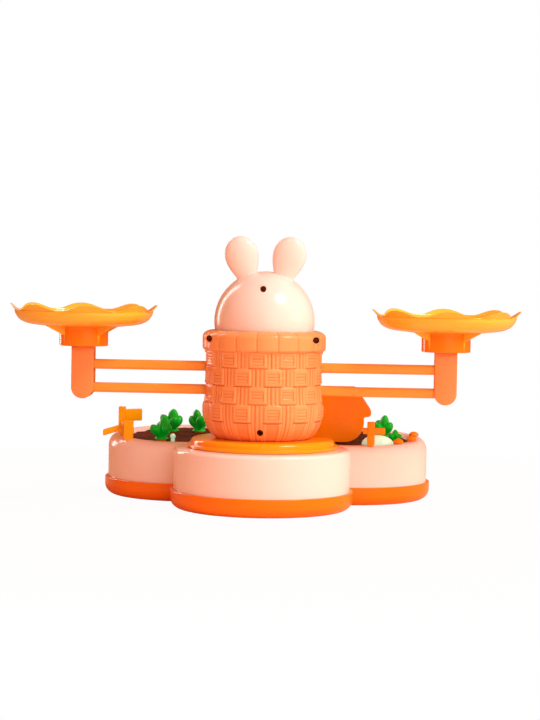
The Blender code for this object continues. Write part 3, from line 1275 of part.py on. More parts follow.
def make_fences(axis):
    """The cross-shaped fence post on the right rim and the two-post fence on the left one."""
    (x, y), near, far = post_places()
    low = rim_top(y) + RIGHT_RAIL_RISE
    middle = x + RIGHT_RAIL_SHIFT
    half = RIGHT_RAIL_LENGTH / 2
    rail = ((middle - half, y), (middle + half, y), low, low + FENCE_RAIL_HEIGHT, 0.0)
    make_fence("right_fence", [(x, y, RIGHT_FENCE_HEIGHT)], [rail], "sign orange", axis)
    high = rim_top(far[1]) + LEFT_FAR_POST_HEIGHT - FENCE_RAIL_DROP
    inwards = (far[0] + LEFT_RAIL_REACH, far[1] + LEFT_RAIL_REACH * 3 / 4)
    top_rail = (far, inwards, high - LEFT_RAIL_HEIGHT, high, 0.0)
    outwards = (far[0] - LEFT_LOW_RAIL_REACH, far[1] - LEFT_LOW_RAIL_REACH / 4)
    shelf = rim_top(far[1]) + LEFT_FAR_POST_HEIGHT - LEFT_LOW_RAIL_DROP
    low_rail = (far, outwards, shelf - FENCE_RAIL_HEIGHT, shelf, LEFT_LOW_RAIL_FALL)
    link_top = rim_top(near[1]) + LEFT_NEAR_POST_HEIGHT - FENCE_RAIL_DROP
    link = (near, far, link_top - FENCE_RAIL_HEIGHT, link_top, 0.0)
    posts = [(*near, LEFT_NEAR_POST_HEIGHT), (*far, LEFT_FAR_POST_HEIGHT)]
    make_fence("left_fence", posts, [top_rail, low_rail, link], "fence yellow", axis)


def make_domes(axis):
    """Three small round-topped markers, pressed into the right rim by their pegs."""
    for index, (x, y) in enumerate(dome_places(), 1):
        seat = rim_top(y) + 2 * GAP
        profile = [(0.0, -DOME_PEG_LENGTH), (DOME_PEG_RADIUS, -DOME_PEG_LENGTH), (DOME_PEG_RADIUS, 0.0)]
        crown = arc((0.0, 0.0), 1.0, 0.0, 90.0, 4)
        profile += [(DOME_RADIUS * c, DOME_HEIGHT * s) for c, s in crown[:-1]] + [(0.0, DOME_HEIGHT)]
        bm = bmesh.new()
        add_turned(bm, profile, SMALL_STEPS, tilt=Matrix.Translation((x, y, seat)))
        new_object(f"marker_dome_{index}", bm, "sign orange", axis)


def make_sprouts(axis):
    """A low pale mound in the right garden and a pale bud in the left one, each on a stem in the soil."""
    x, y = round_garden(1, -MOUND_INSET, MOUND_ANGLE)
    seat = plant_seat(y + MOUND_RADII[1])
    stem_foot = plant_seat(y) - STEM_DEPTH + GAP
    profile = [(0.0, 0.0)] + arc((0.0, 0.0), 1.0, 0.0, 90.0, 4)[:-1] + [(0.0, 1.0)]
    bm = bmesh.new()
    shape = Matrix.Translation((x, y, seat)) @ Matrix.Diagonal((*MOUND_RADII, 1.0))
    add_turned(bm, profile, PIVOT_STEPS, tilt=shape)
    mound = new_object("pale_mound", bm, "pale green", axis)
    stem = bmesh.new()
    add_rod(stem, BUD_STEM_RADIUS, (x, y, stem_foot), (x, y, seat + BUD_RADIUS))
    combine(mound, helper("mound_stem", stem, axis), "UNION")

    x, y = in_garden(-1, *BUD_AT)
    foot = plant_seat(y) - STEM_DEPTH + GAP
    centre = plant_seat(y) + BUD_STEM_HEIGHT + BUD_RADIUS
    bm = bmesh.new()
    add_ball(bm, (BUD_RADIUS, BUD_RADIUS, BUD_RADIUS), (x, y, centre), SMALL_STEPS, 6)
    bud = new_object("pale_bud", bm, "pale green", axis)
    stem = bmesh.new()
    add_rod(stem, BUD_STEM_RADIUS, (x, y, foot), (x, y, centre - GAP))
    combine(bud, helper("bud_stem", stem, axis), "UNION")


def make_balance(axis):
    """The two bars, their pins, the posts that ride on the upper bar, and the trays on the posts."""
    upper = make_bar("upper_beam", UPPER_PIVOT_Z, axis)
    make_bar("lower_beam", LOWER_PIVOT_Z, axis)
    make_pivot_pin("upper_pivot_pin", UPPER_PIVOT_Z, axis)
    make_pivot_pin("lower_pivot_pin", LOWER_PIVOT_Z, axis)
    for label, side in (("left", -1), ("right", 1)):
        post = make_post(f"{label}_post", side, axis)
        tray = make_tray(f"{label}_tray", side, axis)
        attach(tray, post)
        attach(post, upper)


def main():
    clear_scene()
    axis = make_axis()
    screw = make_screw_mesh(SCREW_LENGTH)
    make_base_bottom(axis)
    make_base_top(axis)
    make_base_fasteners(axis, screw)
    for side in (-1, 1):
        make_soil_bed(side, axis)
    make_disc(axis)
    make_basket(axis, screw)
    make_head(axis, screw)
    make_ears(axis)
    make_face(axis)
    make_balance(axis)
    make_carrots(axis)
    make_sign(axis)
    make_fences(axis)
    make_domes(axis)
    make_sprouts(axis)


main()
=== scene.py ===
"""The finish of a toy balance scale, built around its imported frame: a rabbit in a woven basket, two parallel
bars with a scalloped tray at each end, and a clover-shaped base with two small gardens. Metres, +Z up."""

import math

import bmesh
import bpy
import numpy as np
from mathutils import Matrix, Vector


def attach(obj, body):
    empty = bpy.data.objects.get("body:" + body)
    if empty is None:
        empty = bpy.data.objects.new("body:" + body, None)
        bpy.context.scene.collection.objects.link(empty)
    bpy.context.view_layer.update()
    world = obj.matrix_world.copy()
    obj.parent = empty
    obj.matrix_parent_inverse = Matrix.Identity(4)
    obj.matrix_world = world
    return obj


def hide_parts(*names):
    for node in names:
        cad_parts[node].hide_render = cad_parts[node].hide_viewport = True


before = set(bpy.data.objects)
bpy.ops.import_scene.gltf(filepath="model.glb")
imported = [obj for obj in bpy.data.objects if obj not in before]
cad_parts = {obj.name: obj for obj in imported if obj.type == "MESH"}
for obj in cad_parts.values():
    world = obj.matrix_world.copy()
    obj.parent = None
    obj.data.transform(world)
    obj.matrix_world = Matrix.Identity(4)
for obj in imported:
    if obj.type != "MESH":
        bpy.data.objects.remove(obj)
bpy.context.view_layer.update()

# Clearances
GAP = 0.0003
SIDE_PLAY = 0.0006

# Base outline: each lobe's circle at the lip, measured from the basket's upright axis
NEAR_LOBE = ((0.0, -0.005), 0.06649)
LOBE_REACH = 0.1033
SIDE_WAY = math.radians(36.54)
SIDE_LOBE = ((LOBE_REACH * math.sin(SIDE_WAY), LOBE_REACH * math.cos(SIDE_WAY) - 0.005), 0.063)
FAR_LOBE = ((0.0, 0.092), 0.047)
LOBE_STEPS = (72, 72, 28)
AXIS_Y = -0.0347477

# Base shells
FOOT_HEIGHT = 0.0012
FOOT_RECESS = 0.0009
FOOT_RADIUS = 0.006
FEET = ((-0.042, -0.022), (0.042, -0.022), (-0.0835, 0.1136), (0.0835, 0.1136))
BOTTOM_WALL = 0.0022
BOTTOM_FILLET = 0.008
LIP_TOP = 0.0148
LIP_WIDTH = 0.0021
LIP_ROUND = 0.0006
LEDGE_TOP = LIP_TOP - 0.0023
COVER_INSET = LIP_WIDTH + GAP
COVER_WALL = 0.0022
DECK_TOP = 0.045
NEAR_FILLET = 0.003
SIDE_FILLET = 0.007
RIM_RISE = 0.005
RIM_BAND = 0.003
RIM_SLOPE = 0.003
NEAR_BAND = 0.001

# Gardens
WELL_RADIUS = 0.0465
WELL_FLOOR = 0.036
WELL_LIP = 0.0009
DISC_CLEAR = 0.060
SOIL_NEAR_TOP = 0.0415
SOIL_RISE = 0.006
SOIL_STEPS = 160
SOIL_RINGS = 56
FURROW_PITCH = 0.012
FURROW_DEPTH = 0.0014

# Pedestal disc
DISC_BOTTOM = DECK_TOP + GAP
DISC_TOP = DISC_BOTTOM + 0.0067
DISC_RADIUS = 0.0549
DISC_TIER_RADIUS = 0.0524
DISC_FLANGE = 0.0024
DISC_WALL = 0.0022
DISC_EDGE_ROUND = 0.0009
DISC_SHOULDER_ROUND = 0.0032
HUB_RADIUS = 0.014

# Basket
BASKET_BOTTOM = DISC_TOP + GAP
BASKET_RADIUS = 0.0429
BASKET_BULGE = 0.0014
BASKET_FOOT_RADIUS = 0.030
BASKET_WALL = 0.0022
BULGE_RISE = 0.0211
TAPER_RISE = 0.0352
RIM_TOP = BASKET_BOTTOM + 0.0782
RIM_BOTTOM = RIM_TOP - 0.0149
RIM_RADIUS = 0.0449
RIM_ROUND = 0.0024
RIM_DROP = 0.005
WINDOW_HALF_DEPTH = 0.00625
WEAVE_TOP = 0.1168
WEAVE_PITCH = 0.01285
WEAVE_ROWS = 4
WEAVE_COLUMNS = 24
WEAVE_RELIEF = 0.0014
WEAVE_TURN = -3.0 / 360.0
RIM_WRAPS = 18
WRAP_TURN = -4.0 / 360.0

# Head
HEAD_Z = RIM_TOP + 0.0062
HEAD_LOW = RIM_TOP - 0.012
HEAD_RADIUS = 0.036
FRONT_HEAD_RADIUS = 0.0366
HEAD_WALL = 0.0022
HEAD_HOLE_RISE = 0.0239
EAR_X = 0.0135
EAR_LEAN = 15.0
EAR_LENGTH = 0.0289
EAR_CROWN = 0.0136
EAR_SUNK = 0.006
EAR_HALF_WIDTH = 0.0121
EAR_HALF_DEPTH = 0.0055
EAR_ROOT_HALF_WIDTH = 0.0075

# Balance beam
PIVOT_X = 0.1319
UPPER_PIVOT_Z = 0.1037
LOWER_PIVOT_Z = 0.0867
BEAM_TILT = math.radians(8.0)
BAR_HEIGHT = 0.007
BAR_DEPTH = 0.008
PEG_RADIUS = 0.002
HUB_BOSS_RADIUS = 0.006
PIN_BORE_RADIUS = 0.00225

# Posts and trays
POST_WIDTH = 0.0162
POST_WALL = 0.0022
POST_DEPTH = BAR_DEPTH + 2 * (SIDE_PLAY + POST_WALL)
POST_TOP = UPPER_PIVOT_Z + 0.0129
TRAY_BOTTOM = POST_TOP + GAP
TRAY_LOBES = 8
TRAY_STEPS = 256
TRAY_WALL = 0.0018
COLLAR_HEIGHT = 0.0135
COLLAR_RADIUS = 0.0177
SOCKET_RADIUS = 0.0063
SOCKET_WALL = 0.002
GUSSET_HALF_WIDTH = 0.0008
SCALLOP = 0.0023
SCALLOP_OUT = {-1: 0.00125, 1: 0.0017}
TRAY_TURNS = {-1: math.radians(10.0), 1: 0.0}

# Screws: where they sit, and how deep their heads lie
BASE_SCREWS = (
    (-0.0337, -0.0466), (0.0337, -0.0466), (0.0, FAR_LOBE[0][1] + FAR_LOBE[1] - 0.013),
    (-SIDE_LOBE[0][0] - SIDE_LOBE[1] + 0.013, SIDE_LOBE[0][1]),
    (SIDE_LOBE[0][0] + SIDE_LOBE[1] - 0.013, SIDE_LOBE[0][1]),
)
BASE_SCREW_DEPTH = 0.0045
HOLE_RADIUS = 0.00235
BOSS_RADIUS = 0.0035
SCREW_SEAT = 0.0045
RIM_HOLE_X = 0.0382
RIM_HOLE_Z = RIM_TOP - 0.006
LOW_HOLE_Z = BASKET_BOTTOM + 0.0065

# Carrots: place on the garden, size against the full one, turn in degrees
CARROTS = (
    (-0.0800, 0.0600, 1.00, 10.0),
    (-0.0758, 0.1030, 1.00, 75.0),
    (-0.0550, 0.1040, 1.00, 200.0),
    (0.0882, 0.0920, 1.00, 20.0),
    (0.0980, 0.0680, 0.55, 100.0),
    (0.0420, 0.1060, 0.75, 300.0),
)
ROOT_RADIUS = 0.004
ROOT_LENGTH = 0.015
CROWN_RADIUS = 0.0052
CROWN_HEIGHT = 0.0026
LEAF_LENGTH = 0.0170
# Each leaf's lean and turn in degrees, and its length against the longest
LEAVES = ((8.0, 0.0, 1.0), (38.0, 90.0, 0.9), (42.0, 215.0, 0.85), (34.0, 320.0, 0.8))

# Small pieces of the gardens
SIGN_AT = (0.0418, 0.062)
CROSS_AT = (0.0790, 0.0260)
FENCE_NEAR = (-0.1029, 0.0416)
FENCE_FAR = (-0.1102, 0.0600)
RAIL_DEPTH = 0.0034
RAIL_HEIGHT = 0.0046
MARKER_RADIUS = 0.0038
MARKER_HEIGHT = 0.0034
TRIM_PEG_LENGTH = 0.0045
MOUND_AT = (0.0840, 0.0500)
MOUND_RADII = (0.0125, 0.0070, 0.0072)
BUD_AT = (-0.0710, 0.0565)
BUD_RADIUS = 0.0021
BUD_STEM_HEIGHT = 0.0006

HANDS = (("left", -1), ("right", 1))
AS_IS = Matrix.Identity(4)


# Formulas in node trees


def feed(node, inputs):
    """Gives a node its inputs, each of them a value, a socket or a field."""
    for key, value in inputs.items():
        value = getattr(value, "socket", value)
        if isinstance(value, bpy.types.NodeSocket):
            node.id_data.links.new(value, node.inputs[key])
        else:
            node.inputs[key].default_value = value
    return node


def add(tree, kind, inputs=None, **settings):
    """Adds a node to a tree, with its settings and its inputs."""
    node = tree.nodes.new(kind)
    for name, value in settings.items():
        setattr(node, name, value)
    return feed(node, inputs or {})


class Field:
    """A number in a node tree that takes part in ordinary formulas."""

    def __init__(self, socket):
        self.socket = socket

    def math(self, operation, *values):
        inputs = dict(enumerate((self, *values)))
        return Field(add(self.socket.id_data, "ShaderNodeMath", inputs, operation=operation).outputs[0])

    def __add__(self, other):
        return self.math("ADD", other)

    def __sub__(self, other):
        return self.math("SUBTRACT", other)

    def __mul__(self, other):
        return self.math("MULTIPLY", other)

    def __truediv__(self, other):
        return self.math("DIVIDE", other)

    def less_from(self, value):
        """value - self"""
        return self * -1.0 + value

    def within(self, low, high):
        return self.higher(low).math("MINIMUM", high)

    def size(self):
        return self.math("ABSOLUTE")

    def higher(self, other):
        return self.math("MAXIMUM", other)

    def dome(self):
        """1 at 0, with a quarter-round fall to 0 at 1."""
        return (self * self).less_from(1.0).math("SQRT")

    def rounded_edge(self, start, end):
        """1 up to start, then a quarter-round fall to 0 at end."""
        return ((self - start) / (end - start)).within(0.0, 1.0).dome()

    def line(self, at, half_width):
        """1 on a line at a value, falling to 0 at half_width from it."""
        t = ((self - at).size() / half_width).less_from(1.0).higher(0.0)
        return t * t

    def inside(self, limit, softness):
        """1 below a limit and 0 above it, with a soft step."""
        return ((self - limit) / softness + 0.5).within(0.0, 1.0).less_from(1.0)


def noise(vector, scale, detail, roughness=0.5):
    inputs = {"Vector": vector, "Scale": scale, "Detail": detail, "Roughness": roughness}
    return Field(add(vector.id_data, "ShaderNodeTexNoise", inputs).outputs["Fac"])


def mixed(share, first, second):
    """The colour between two, by a share."""
    inputs = {0: share, 6: first, 7: second}
    return add(share.socket.id_data, "ShaderNodeMix", inputs, data_type="RGBA").outputs[2]


def new_socket(tree, name, kind, value=None, way="INPUT"):
    socket = tree.interface.new_socket(name=name, in_out=way, socket_type=f"NodeSocket{kind}")
    if value is not None:
        socket.default_value = value


def geometry_tree(name, sizes, build):
    """A Geometry Nodes tree with named sizes that ends with what build(tree, geometry, size) makes."""
    tree = bpy.data.node_groups.new(name, "GeometryNodeTree")
    new_socket(tree, "Geometry", "Geometry")
    new_socket(tree, "Geometry", "Geometry", way="OUTPUT")
    new_socket(tree, "Material", "Material")
    for label, value in sizes.items():
        new_socket(tree, label, "Object" if value is None else "Float", value)
    source = tree.nodes.new("NodeGroupInput").outputs
    made = build(tree, source["Geometry"], {label: Field(source[label]) for label in sizes})
    real = add(tree, "GeometryNodeRealizeInstances", {0: made})
    inputs = {"Geometry": real.outputs[0], "Material": source["Material"]}
    add(tree, "NodeGroupOutput", {0: add(tree, "GeometryNodeSetMaterial", inputs).outputs[0]})
    return tree


def stored(tree, name, kind="FLOAT"):
    """What a mesh stores on its points under a name."""
    node = add(tree, "GeometryNodeInputNamedAttribute", {"Name": name}, data_type=kind)
    return Field(next(socket for socket in node.outputs if socket.enabled))


def point_place(tree):
    """Each point's place, whole and as X and Y."""
    place = tree.nodes.new("GeometryNodeInputPosition").outputs[0]
    apart = add(tree, "ShaderNodeSeparateXYZ", {0: place}).outputs
    return place, Field(apart[0]), Field(apart[1])


def moved(tree, geometry, offset):
    return add(tree, "GeometryNodeSetPosition", {"Geometry": geometry, "Offset": offset}).outputs[0]


def grow(obj, tree, inputs):
    """Runs a Geometry Nodes tree on an object and leaves its result as a plain mesh."""
    modifier = obj.modifiers.new(tree.name, "NODES")
    modifier.node_group = tree
    for item in tree.interface.items_tree:
        if item.in_out == "INPUT" and item.name in inputs:
            modifier[item.identifier] = inputs[item.name]
    return settle(obj)


def settle(obj):
    """Turns an object's modifiers into plain mesh."""
    bpy.context.view_layer.update()
    graph = bpy.context.evaluated_depsgraph_get()
    mesh = bpy.data.meshes.new_from_object(obj.evaluated_get(graph))
    obj.modifiers.clear()
    obj.data = mesh
    return obj


# Materials


def make_moulded_group():
    """Moulded plastic: slow drift between two tones, faint flow marks, uneven gloss and a fine skin."""
    tree = bpy.data.node_groups.new("moulded_plastic", "ShaderNodeTree")
    for label in ("Tone", "Deep Tone"):
        new_socket(tree, label, "Color")
    for label in ("Drift Scale", "Drift", "Gloss Roughness", "Skin Scale"):
        new_socket(tree, label, "Float")
    for label, kind in (("Colour", "Color"), ("Roughness", "Float"), ("Height", "Float")):
        new_socket(tree, label, kind, way="OUTPUT")
    source = tree.nodes.new("NodeGroupInput").outputs
    place = tree.nodes.new("ShaderNodeTexCoord").outputs["Object"]
    drift = noise(place, source["Drift Scale"], 3.0)
    share = ((drift - 0.42) * 3.2).within(0.0, 1.0) * Field(source["Drift"])
    rough = Field(source["Gloss Roughness"]) + (noise(place, 60.0, 4.0, 0.65) - 0.5) * 0.12
    colour = mixed(share, source["Tone"], source["Deep Tone"])
    skin = noise(place, source["Skin Scale"], 2.0)
    add(tree, "NodeGroupOutput", {"Colour": colour, "Roughness": rough, "Height": skin})
    return tree


def linear(colour):
    """A colour written as it looks on a screen, as the shader's linear values."""
    made = [c / 12.92 if c <= 0.04045 else ((c + 0.055) / 1.055) ** 2.4 for c in colour]
    return (*made, 1.0)


def new_material(name):
    made = bpy.data.materials.new(name)
    made.use_nodes = True
    return made


def plastic(name, tone, deep, gloss, drift, drift_scale, more=None, skin=(0.00002, 0.35, 900.0)):
    """A moulded material; more holds other shader inputs, skin its bump's depth, strength and scale."""
    made = new_material(name)
    tree = made.node_tree
    depth, strength, scale = skin
    inputs = {
        "Tone": linear(tone), "Deep Tone": linear(deep), "Drift Scale": drift_scale, "Drift": drift,
        "Gloss Roughness": gloss, "Skin Scale": scale,
    }
    finish = add(tree, "ShaderNodeGroup", inputs, node_tree=MOULDED).outputs
    bump = add(tree, "ShaderNodeBump", {"Height": finish["Height"], "Strength": strength, "Distance": depth})
    inputs = {"Base Color": finish["Colour"], "Roughness": finish["Roughness"], "Normal": bump.outputs[0]}
    feed(tree.nodes["Principled BSDF"], {**inputs, **(more or {})})
    return made


def paint_shade(material, mark, tone, most):
    """Paints shade into a plastic's colour: it runs to a deeper tone as far as a value stored on its surface
    says.
    """
    tree = material.node_tree
    shader = tree.nodes["Principled BSDF"]
    plain = shader.inputs["Base Color"].links[0].from_socket
    share = Field(add(tree, "ShaderNodeAttribute", attribute_name=mark).outputs["Fac"]) * most
    feed(shader, {"Base Color": mixed(share, plain, linear(tone))})


# An emission that makes a part glow though it is no lamp: painted light.
def painted_glow(*colour):
    return {"Emission Color": (*colour, 1.0), "Emission Strength": 1.0}


def make_soil():
    """Brown soil moulded in plastic: darker streaks that run the furrows' way, with crumbs."""
    made = new_material("furrowed_soil_plastic")
    tree = made.node_tree
    place = tree.nodes.new("ShaderNodeTexCoord").outputs["Object"]
    streak = add(tree, "ShaderNodeMapping", {"Vector": place, "Scale": (0.35, 1.6, 1.0)})
    marks = noise(streak.outputs["Vector"], 170.0, 5.0, 0.6)
    share = ((marks - 0.44) * 5.0).within(0.0, 1.0)
    colour = mixed(share, linear((0.37, 0.130, 0.050)), linear((0.18, 0.055, 0.020)))
    crumbs = noise(place, 700.0, 4.0, 0.6)
    bump = add(tree, "ShaderNodeBump", {"Height": crumbs, "Strength": 0.7, "Distance": 0.0004})
    inputs = {"Base Color": colour, "Specular IOR Level": 0.2, "Roughness": marks * 0.5 + 0.22}
    feed(tree.nodes["Principled BSDF"], {**inputs, "Normal": bump.outputs[0]})
    return made


MOULDED = make_moulded_group()
SOFT_SHINE = {"Specular IOR Level": 0.3}
MILKY = {"Subsurface Weight": 0.15, "Subsurface Scale": 0.004, "Subsurface Radius": (1.0, 0.45, 0.25)}
LACQUER = {"Coat Weight": 0.5, "Coat Roughness": 0.08}
CREAM = plastic("cream_shell_plastic", (0.990, 0.880, 0.845), (0.985, 0.855, 0.810), 0.20, 0.5, 14.0, MILKY)
PEACH = plastic("peach_basket_plastic", (0.975, 0.635, 0.385), (0.965, 0.590, 0.330), 0.26, 0.6, 22.0)
# Painted shade: the basket's grooves, strands and rim seams run to a deeper orange.
paint_shade(PEACH, "crevice", (0.84, 0.310, 0.080), 0.9)
POST_PEACH = plastic("peach_post_plastic", (1.0, 0.590, 0.330), (1.0, 0.550, 0.280), 0.26, 0.5, 30.0)
HONEY = plastic("honey_tray_plastic", (1.0, 0.775, 0.255), (1.0, 0.715, 0.170), 0.16, 0.6, 20.0)
# Painted shade: the collar and socket under each tray's bowl run to a deeper orange.
paint_shade(HONEY, "painted_collar_shade", (1.0, 0.520, 0.000), 0.95)
DISC_HONEY = plastic("honey_disc_plastic", (1.0, 0.620, 0.030), (1.0, 0.570, 0.000), 0.16, 0.6, 20.0)
SHELL_ORANGE = plastic(
    "deep_orange_shell_plastic", (1.0, 0.490, 0.020), (1.0, 0.450, 0.000), 0.22, 0.6, 14.0, SOFT_SHINE
)
BAR_ORANGE = plastic("soft_orange_bar_plastic", (1.0, 0.630, 0.240), (1.0, 0.590, 0.180), 0.22, 0.5, 26.0)
SIGN_ORANGE = plastic(
    "bright_orange_trim_plastic", (1.0, 0.550, 0.000), (1.0, 0.500, 0.000), 0.26, 0.6, 30.0, SOFT_SHINE
)
FENCE_YELLOW = plastic(
    "amber_fence_plastic", (1.0, 0.710, 0.020), (1.0, 0.640, 0.000), 0.28, 0.6, 60.0, SOFT_SHINE
)
# The leaves carry a faint painted green glow.
LEAF_GREEN = plastic(
    "carrot_leaf_green_plastic", (0.000, 0.740, 0.140), (0.000, 0.600, 0.050), 0.22, 1.0, 70.0,
    {**SOFT_SHINE, **painted_glow(0.0, 0.060, 0.004)},
)
# The pale green carries a painted glow that stands for green light reflected onto it.
PALE_GREEN = plastic(
    "pale_green_plastic", (0.900, 1.000, 0.980), (0.800, 0.960, 0.900), 0.30, 0.8, 80.0,
    painted_glow(0.120, 0.340, 0.200),
)
CARROT = plastic("carrot_root_plastic", (1.0, 0.520, 0.100), (0.98, 0.440, 0.050), 0.30, 0.8, 90.0)
EYE_BLACK = plastic("gloss_black_plastic", (0.050, 0.040, 0.040), (0.030,) * 3, 0.10, 0.4, 40.0, LACQUER)
PINK = plastic("soft_pink_paint", (0.980, 0.640, 0.610), (0.960, 0.560, 0.540), 0.34, 0.5, 60.0)
RUBBER = plastic(
    "grey_foot_rubber", (0.400, 0.400, 0.410), (0.330, 0.330, 0.340), 0.72, 0.8, 120.0,
    skin=(0.0001, 0.35, 900.0),
)
# The screws carry a faint painted red glow, which stands for warm light in their holes.
STEEL = plastic(
    "plated_screw_steel", (0.42, 0.34, 0.31), (0.30, 0.23, 0.21), 0.38, 1.0, 400.0,
    {"Metallic": 1.0, **painted_glow(0.060, 0.006, 0.004)}, (0.00003, 1.0, 2500.0),
)
SOIL = make_soil()


# Mesh building


def link(name, data):
    obj = bpy.data.objects.new(name, data)
    bpy.context.scene.collection.objects.link(obj)
    return obj


def form(name, build, *values, shift=AXIS_Y, **more):
    """An object from a function that fills a bmesh measured from the basket's axis, its faces outwards."""
    bm = bmesh.new()
    build(bm, *values, **more)
    bmesh.ops.recalc_face_normals(bm, faces=bm.faces)
    bmesh.ops.translate(bm, verts=bm.verts, vec=(0.0, shift, 0.0))
    mesh = bpy.data.meshes.new(name)
    bm.to_mesh(mesh)
    bm.free()
    return link(name, mesh)


def store(mesh, name, values, kind="FLOAT"):
    """Stores numbers or vectors on a mesh's points."""
    data = mesh.attributes.new(name, kind, "POINT").data
    data.foreach_set("value" if kind == "FLOAT" else "vector", np.array(values, np.float32).ravel())


def coat(obj, material, angle=35.0):
    obj.data.materials.clear()
    obj.data.materials.append(material)
    obj.data.shade_smooth()
    obj.data.set_sharp_from_angle(angle=math.radians(angle))


def dress(obj, body, material, slot, *nodes, angle=35.0):
    """Gives a finished piece its material and its body, and hides the CAD nodes that it stands for; slot is
    not used.
    """
    coat(obj, material, angle)
    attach(obj, body)
    if nodes:
        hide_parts(*nodes)


def cut(obj, build, *values, operation="DIFFERENCE"):
    """Cuts away what a function builds, at once."""
    tool = form("tool", build, *values)
    boolean = obj.modifiers.new("cut", "BOOLEAN")
    boolean.object = tool
    boolean.operation = operation
    boolean.solver = "MANIFOLD"
    settle(obj)
    bpy.data.objects.remove(tool, do_unlink=True)


def weld(obj, build, *values):
    """Joins on what a function builds."""
    cut(obj, build, *values, operation="UNION")


def stack(bm, rings):
    """A closed body from rings of points, closed by its first and last ring."""
    rows = [[bm.verts.new(point) for point in ring] for ring in rings]
    for low, high in zip(rows, rows[1:]):
        for k in range(len(low)):
            after = (k + 1) % len(low)
            bm.faces.new((low[k], low[after], high[after], high[k]))
    bm.faces.new(rows[0][::-1])
    bm.faces.new(rows[-1])


def arc(centre, radius, start, end, steps):
    """Points of an arc, in degrees, both ends included."""
    angles = [math.radians(start + (end - start) * k / steps) for k in range(steps + 1)]
    return [(centre[0] + radius * math.cos(a), centre[1] + radius * math.sin(a)) for a in angles]


def round_steps(start, end, steps):
    """(cosine, sine) pairs along an arc, in degrees."""
    return arc((0.0, 0.0), 1.0, start, end, steps)


def turned(bm, profile, steps, tilt=AS_IS, side=0):
    """A body turned about Z from (radius, height) points: whole, or its half on one side, shut by flat ends.
    A profile that starts and ends off the axis is a closed loop."""
    rows = []
    angles = [(1 if side else 2) * math.pi * k / steps for k in range(steps + abs(side))]
    for radius, height in profile:
        spots = [(0.0, 0.0)]
        if radius > 1e-9:
            spots = [(radius * math.cos(a), radius * math.sin(a)) for a in angles]
        if side:
            spots = [(x, side * (GAP / 2 + y)) for x, y in spots]
        rows.append([bm.verts.new(tilt @ Vector((x, y, height))) for x, y in spots])
    pairs = list(zip(rows, rows[1:]))
    if len(rows[0]) > 1:
        pairs.append((rows[-1], rows[0]))
    for a, b in pairs:
        for k in range(steps):
            corners = (a[k % len(a)], a[(k + 1) % len(a)], b[(k + 1) % len(b)], b[k % len(b)])
            unique = list(dict.fromkeys(corners))
            if len(unique) > 2:
                bm.faces.new(unique)
    if side:
        bm.faces.new([row[0] for row in rows])
        bm.faces.new([row[-1] for row in rows])


def rotation(degrees, axis):
    return Matrix.Rotation(math.radians(degrees), 4, axis)


def along(direction, at):
    turn = Vector((0.0, 0.0, 1.0)).rotation_difference(Vector(direction)).to_matrix().to_4x4()
    return Matrix.Translation(Vector(at)) @ turn


def rod(bm, radius, start, end, steps=32, edge=0.0):
    """A round rod between two points, with rounded ends where edge is over zero."""
    start, end = Vector(start), Vector(end)
    length = (end - start).length
    low, high = [(radius, 0.0)], [(radius, length)]
    if edge:
        low = arc((radius - edge, edge), edge, -90.0, 0.0, 4)
        high = arc((radius - edge, length - edge), edge, 0.0, 90.0, 4)
    turned(bm, [(0.0, 0.0)] + low + high + [(0.0, length)], steps, along(end - start, start))


def upright(bm, radius, place, low, high):
    """An upright rod at a place on the plan."""
    rod(bm, radius, (*place, low), (*place, high))


def ball(bm, matrix, segments):
    bmesh.ops.create_uvsphere(bm, u_segments=segments, v_segments=segments // 2, radius=1.0, matrix=matrix)


def block(bm, low, high):
    low, high = Vector(low), Vector(high)
    matrix = Matrix.Translation((low + high) / 2) @ Matrix.Diagonal((*(high - low), 1.0))
    bmesh.ops.create_cube(bm, size=1.0, matrix=matrix)


def soft_block(bm, low, high, edge=0.0005):
    """A block with rounded edges."""
    block(bm, low, high)
    bmesh.ops.bevel(bm, geom=bm.edges[:], offset=edge, segments=3, profile=0.5, affect="EDGES")


def post_block(bm, place, half_width, low, high, edge=0.0005, near=0.00225, far=0.00225):
    """An upright post, as deep as near and far say."""
    x, y = place
    soft_block(bm, (x - half_width, y - near, low), (x + half_width, y + far, high), edge)


def rail_block(bm, start, end, low, high, fall=0.0):
    """A rail between two points on the plan, which falls by so much at its end."""
    line = Vector(end) - Vector(start)
    soft_block(bm, (0.0, -RAIL_DEPTH / 2, low), (line.length, RAIL_DEPTH / 2, high), 0.0007)
    for vert in bm.verts:
        vert.co.z -= fall * vert.co.x / line.length
    turn = Matrix.Rotation(math.atan2(line.y, line.x), 4, "Z")
    bmesh.ops.transform(bm, matrix=Matrix.Translation((*start, 0.0)) @ turn, verts=bm.verts)


def plate(bm, outline, half_depth, y, edge):
    """A plate with rounded edges, from an outline of (x, z) points."""
    inward = []
    for k in range(len(outline)):
        tangent = (Vector(outline[(k + 1) % len(outline)]) - Vector(outline[k - 1])).normalized()
        inward.append(Vector((-tangent.y, tangent.x)))
    levels = [(half_depth - edge * (1 - s), edge * (1 - c)) for c, s in round_steps(90.0, 0.0, 4)]
    levels += [(-depth, inset) for depth, inset in reversed(levels)]
    stack(bm, [[(x + n.x * i, y + d, z + n.y * i) for (x, z), n in zip(outline, inward)] for d, i in levels])


def spline(points, steps):
    """A smooth curve through points."""
    padded = [points[0]] + list(points) + [points[-1]]
    out = []
    for corners in zip(padded, padded[1:], padded[2:], padded[3:]):
        for t in (k / steps for k in range(steps)):
            out.append(tuple(
                0.5 * (
                    2 * q + (r - p) * t + (2 * p - 5 * q + 4 * r - s) * t * t + (3 * q - p - 3 * r + s) * t**3
                )
                for p, q, r, s in zip(*corners)
            ))
    return out + [tuple(points[-1])]


# Outlines and heights of the base


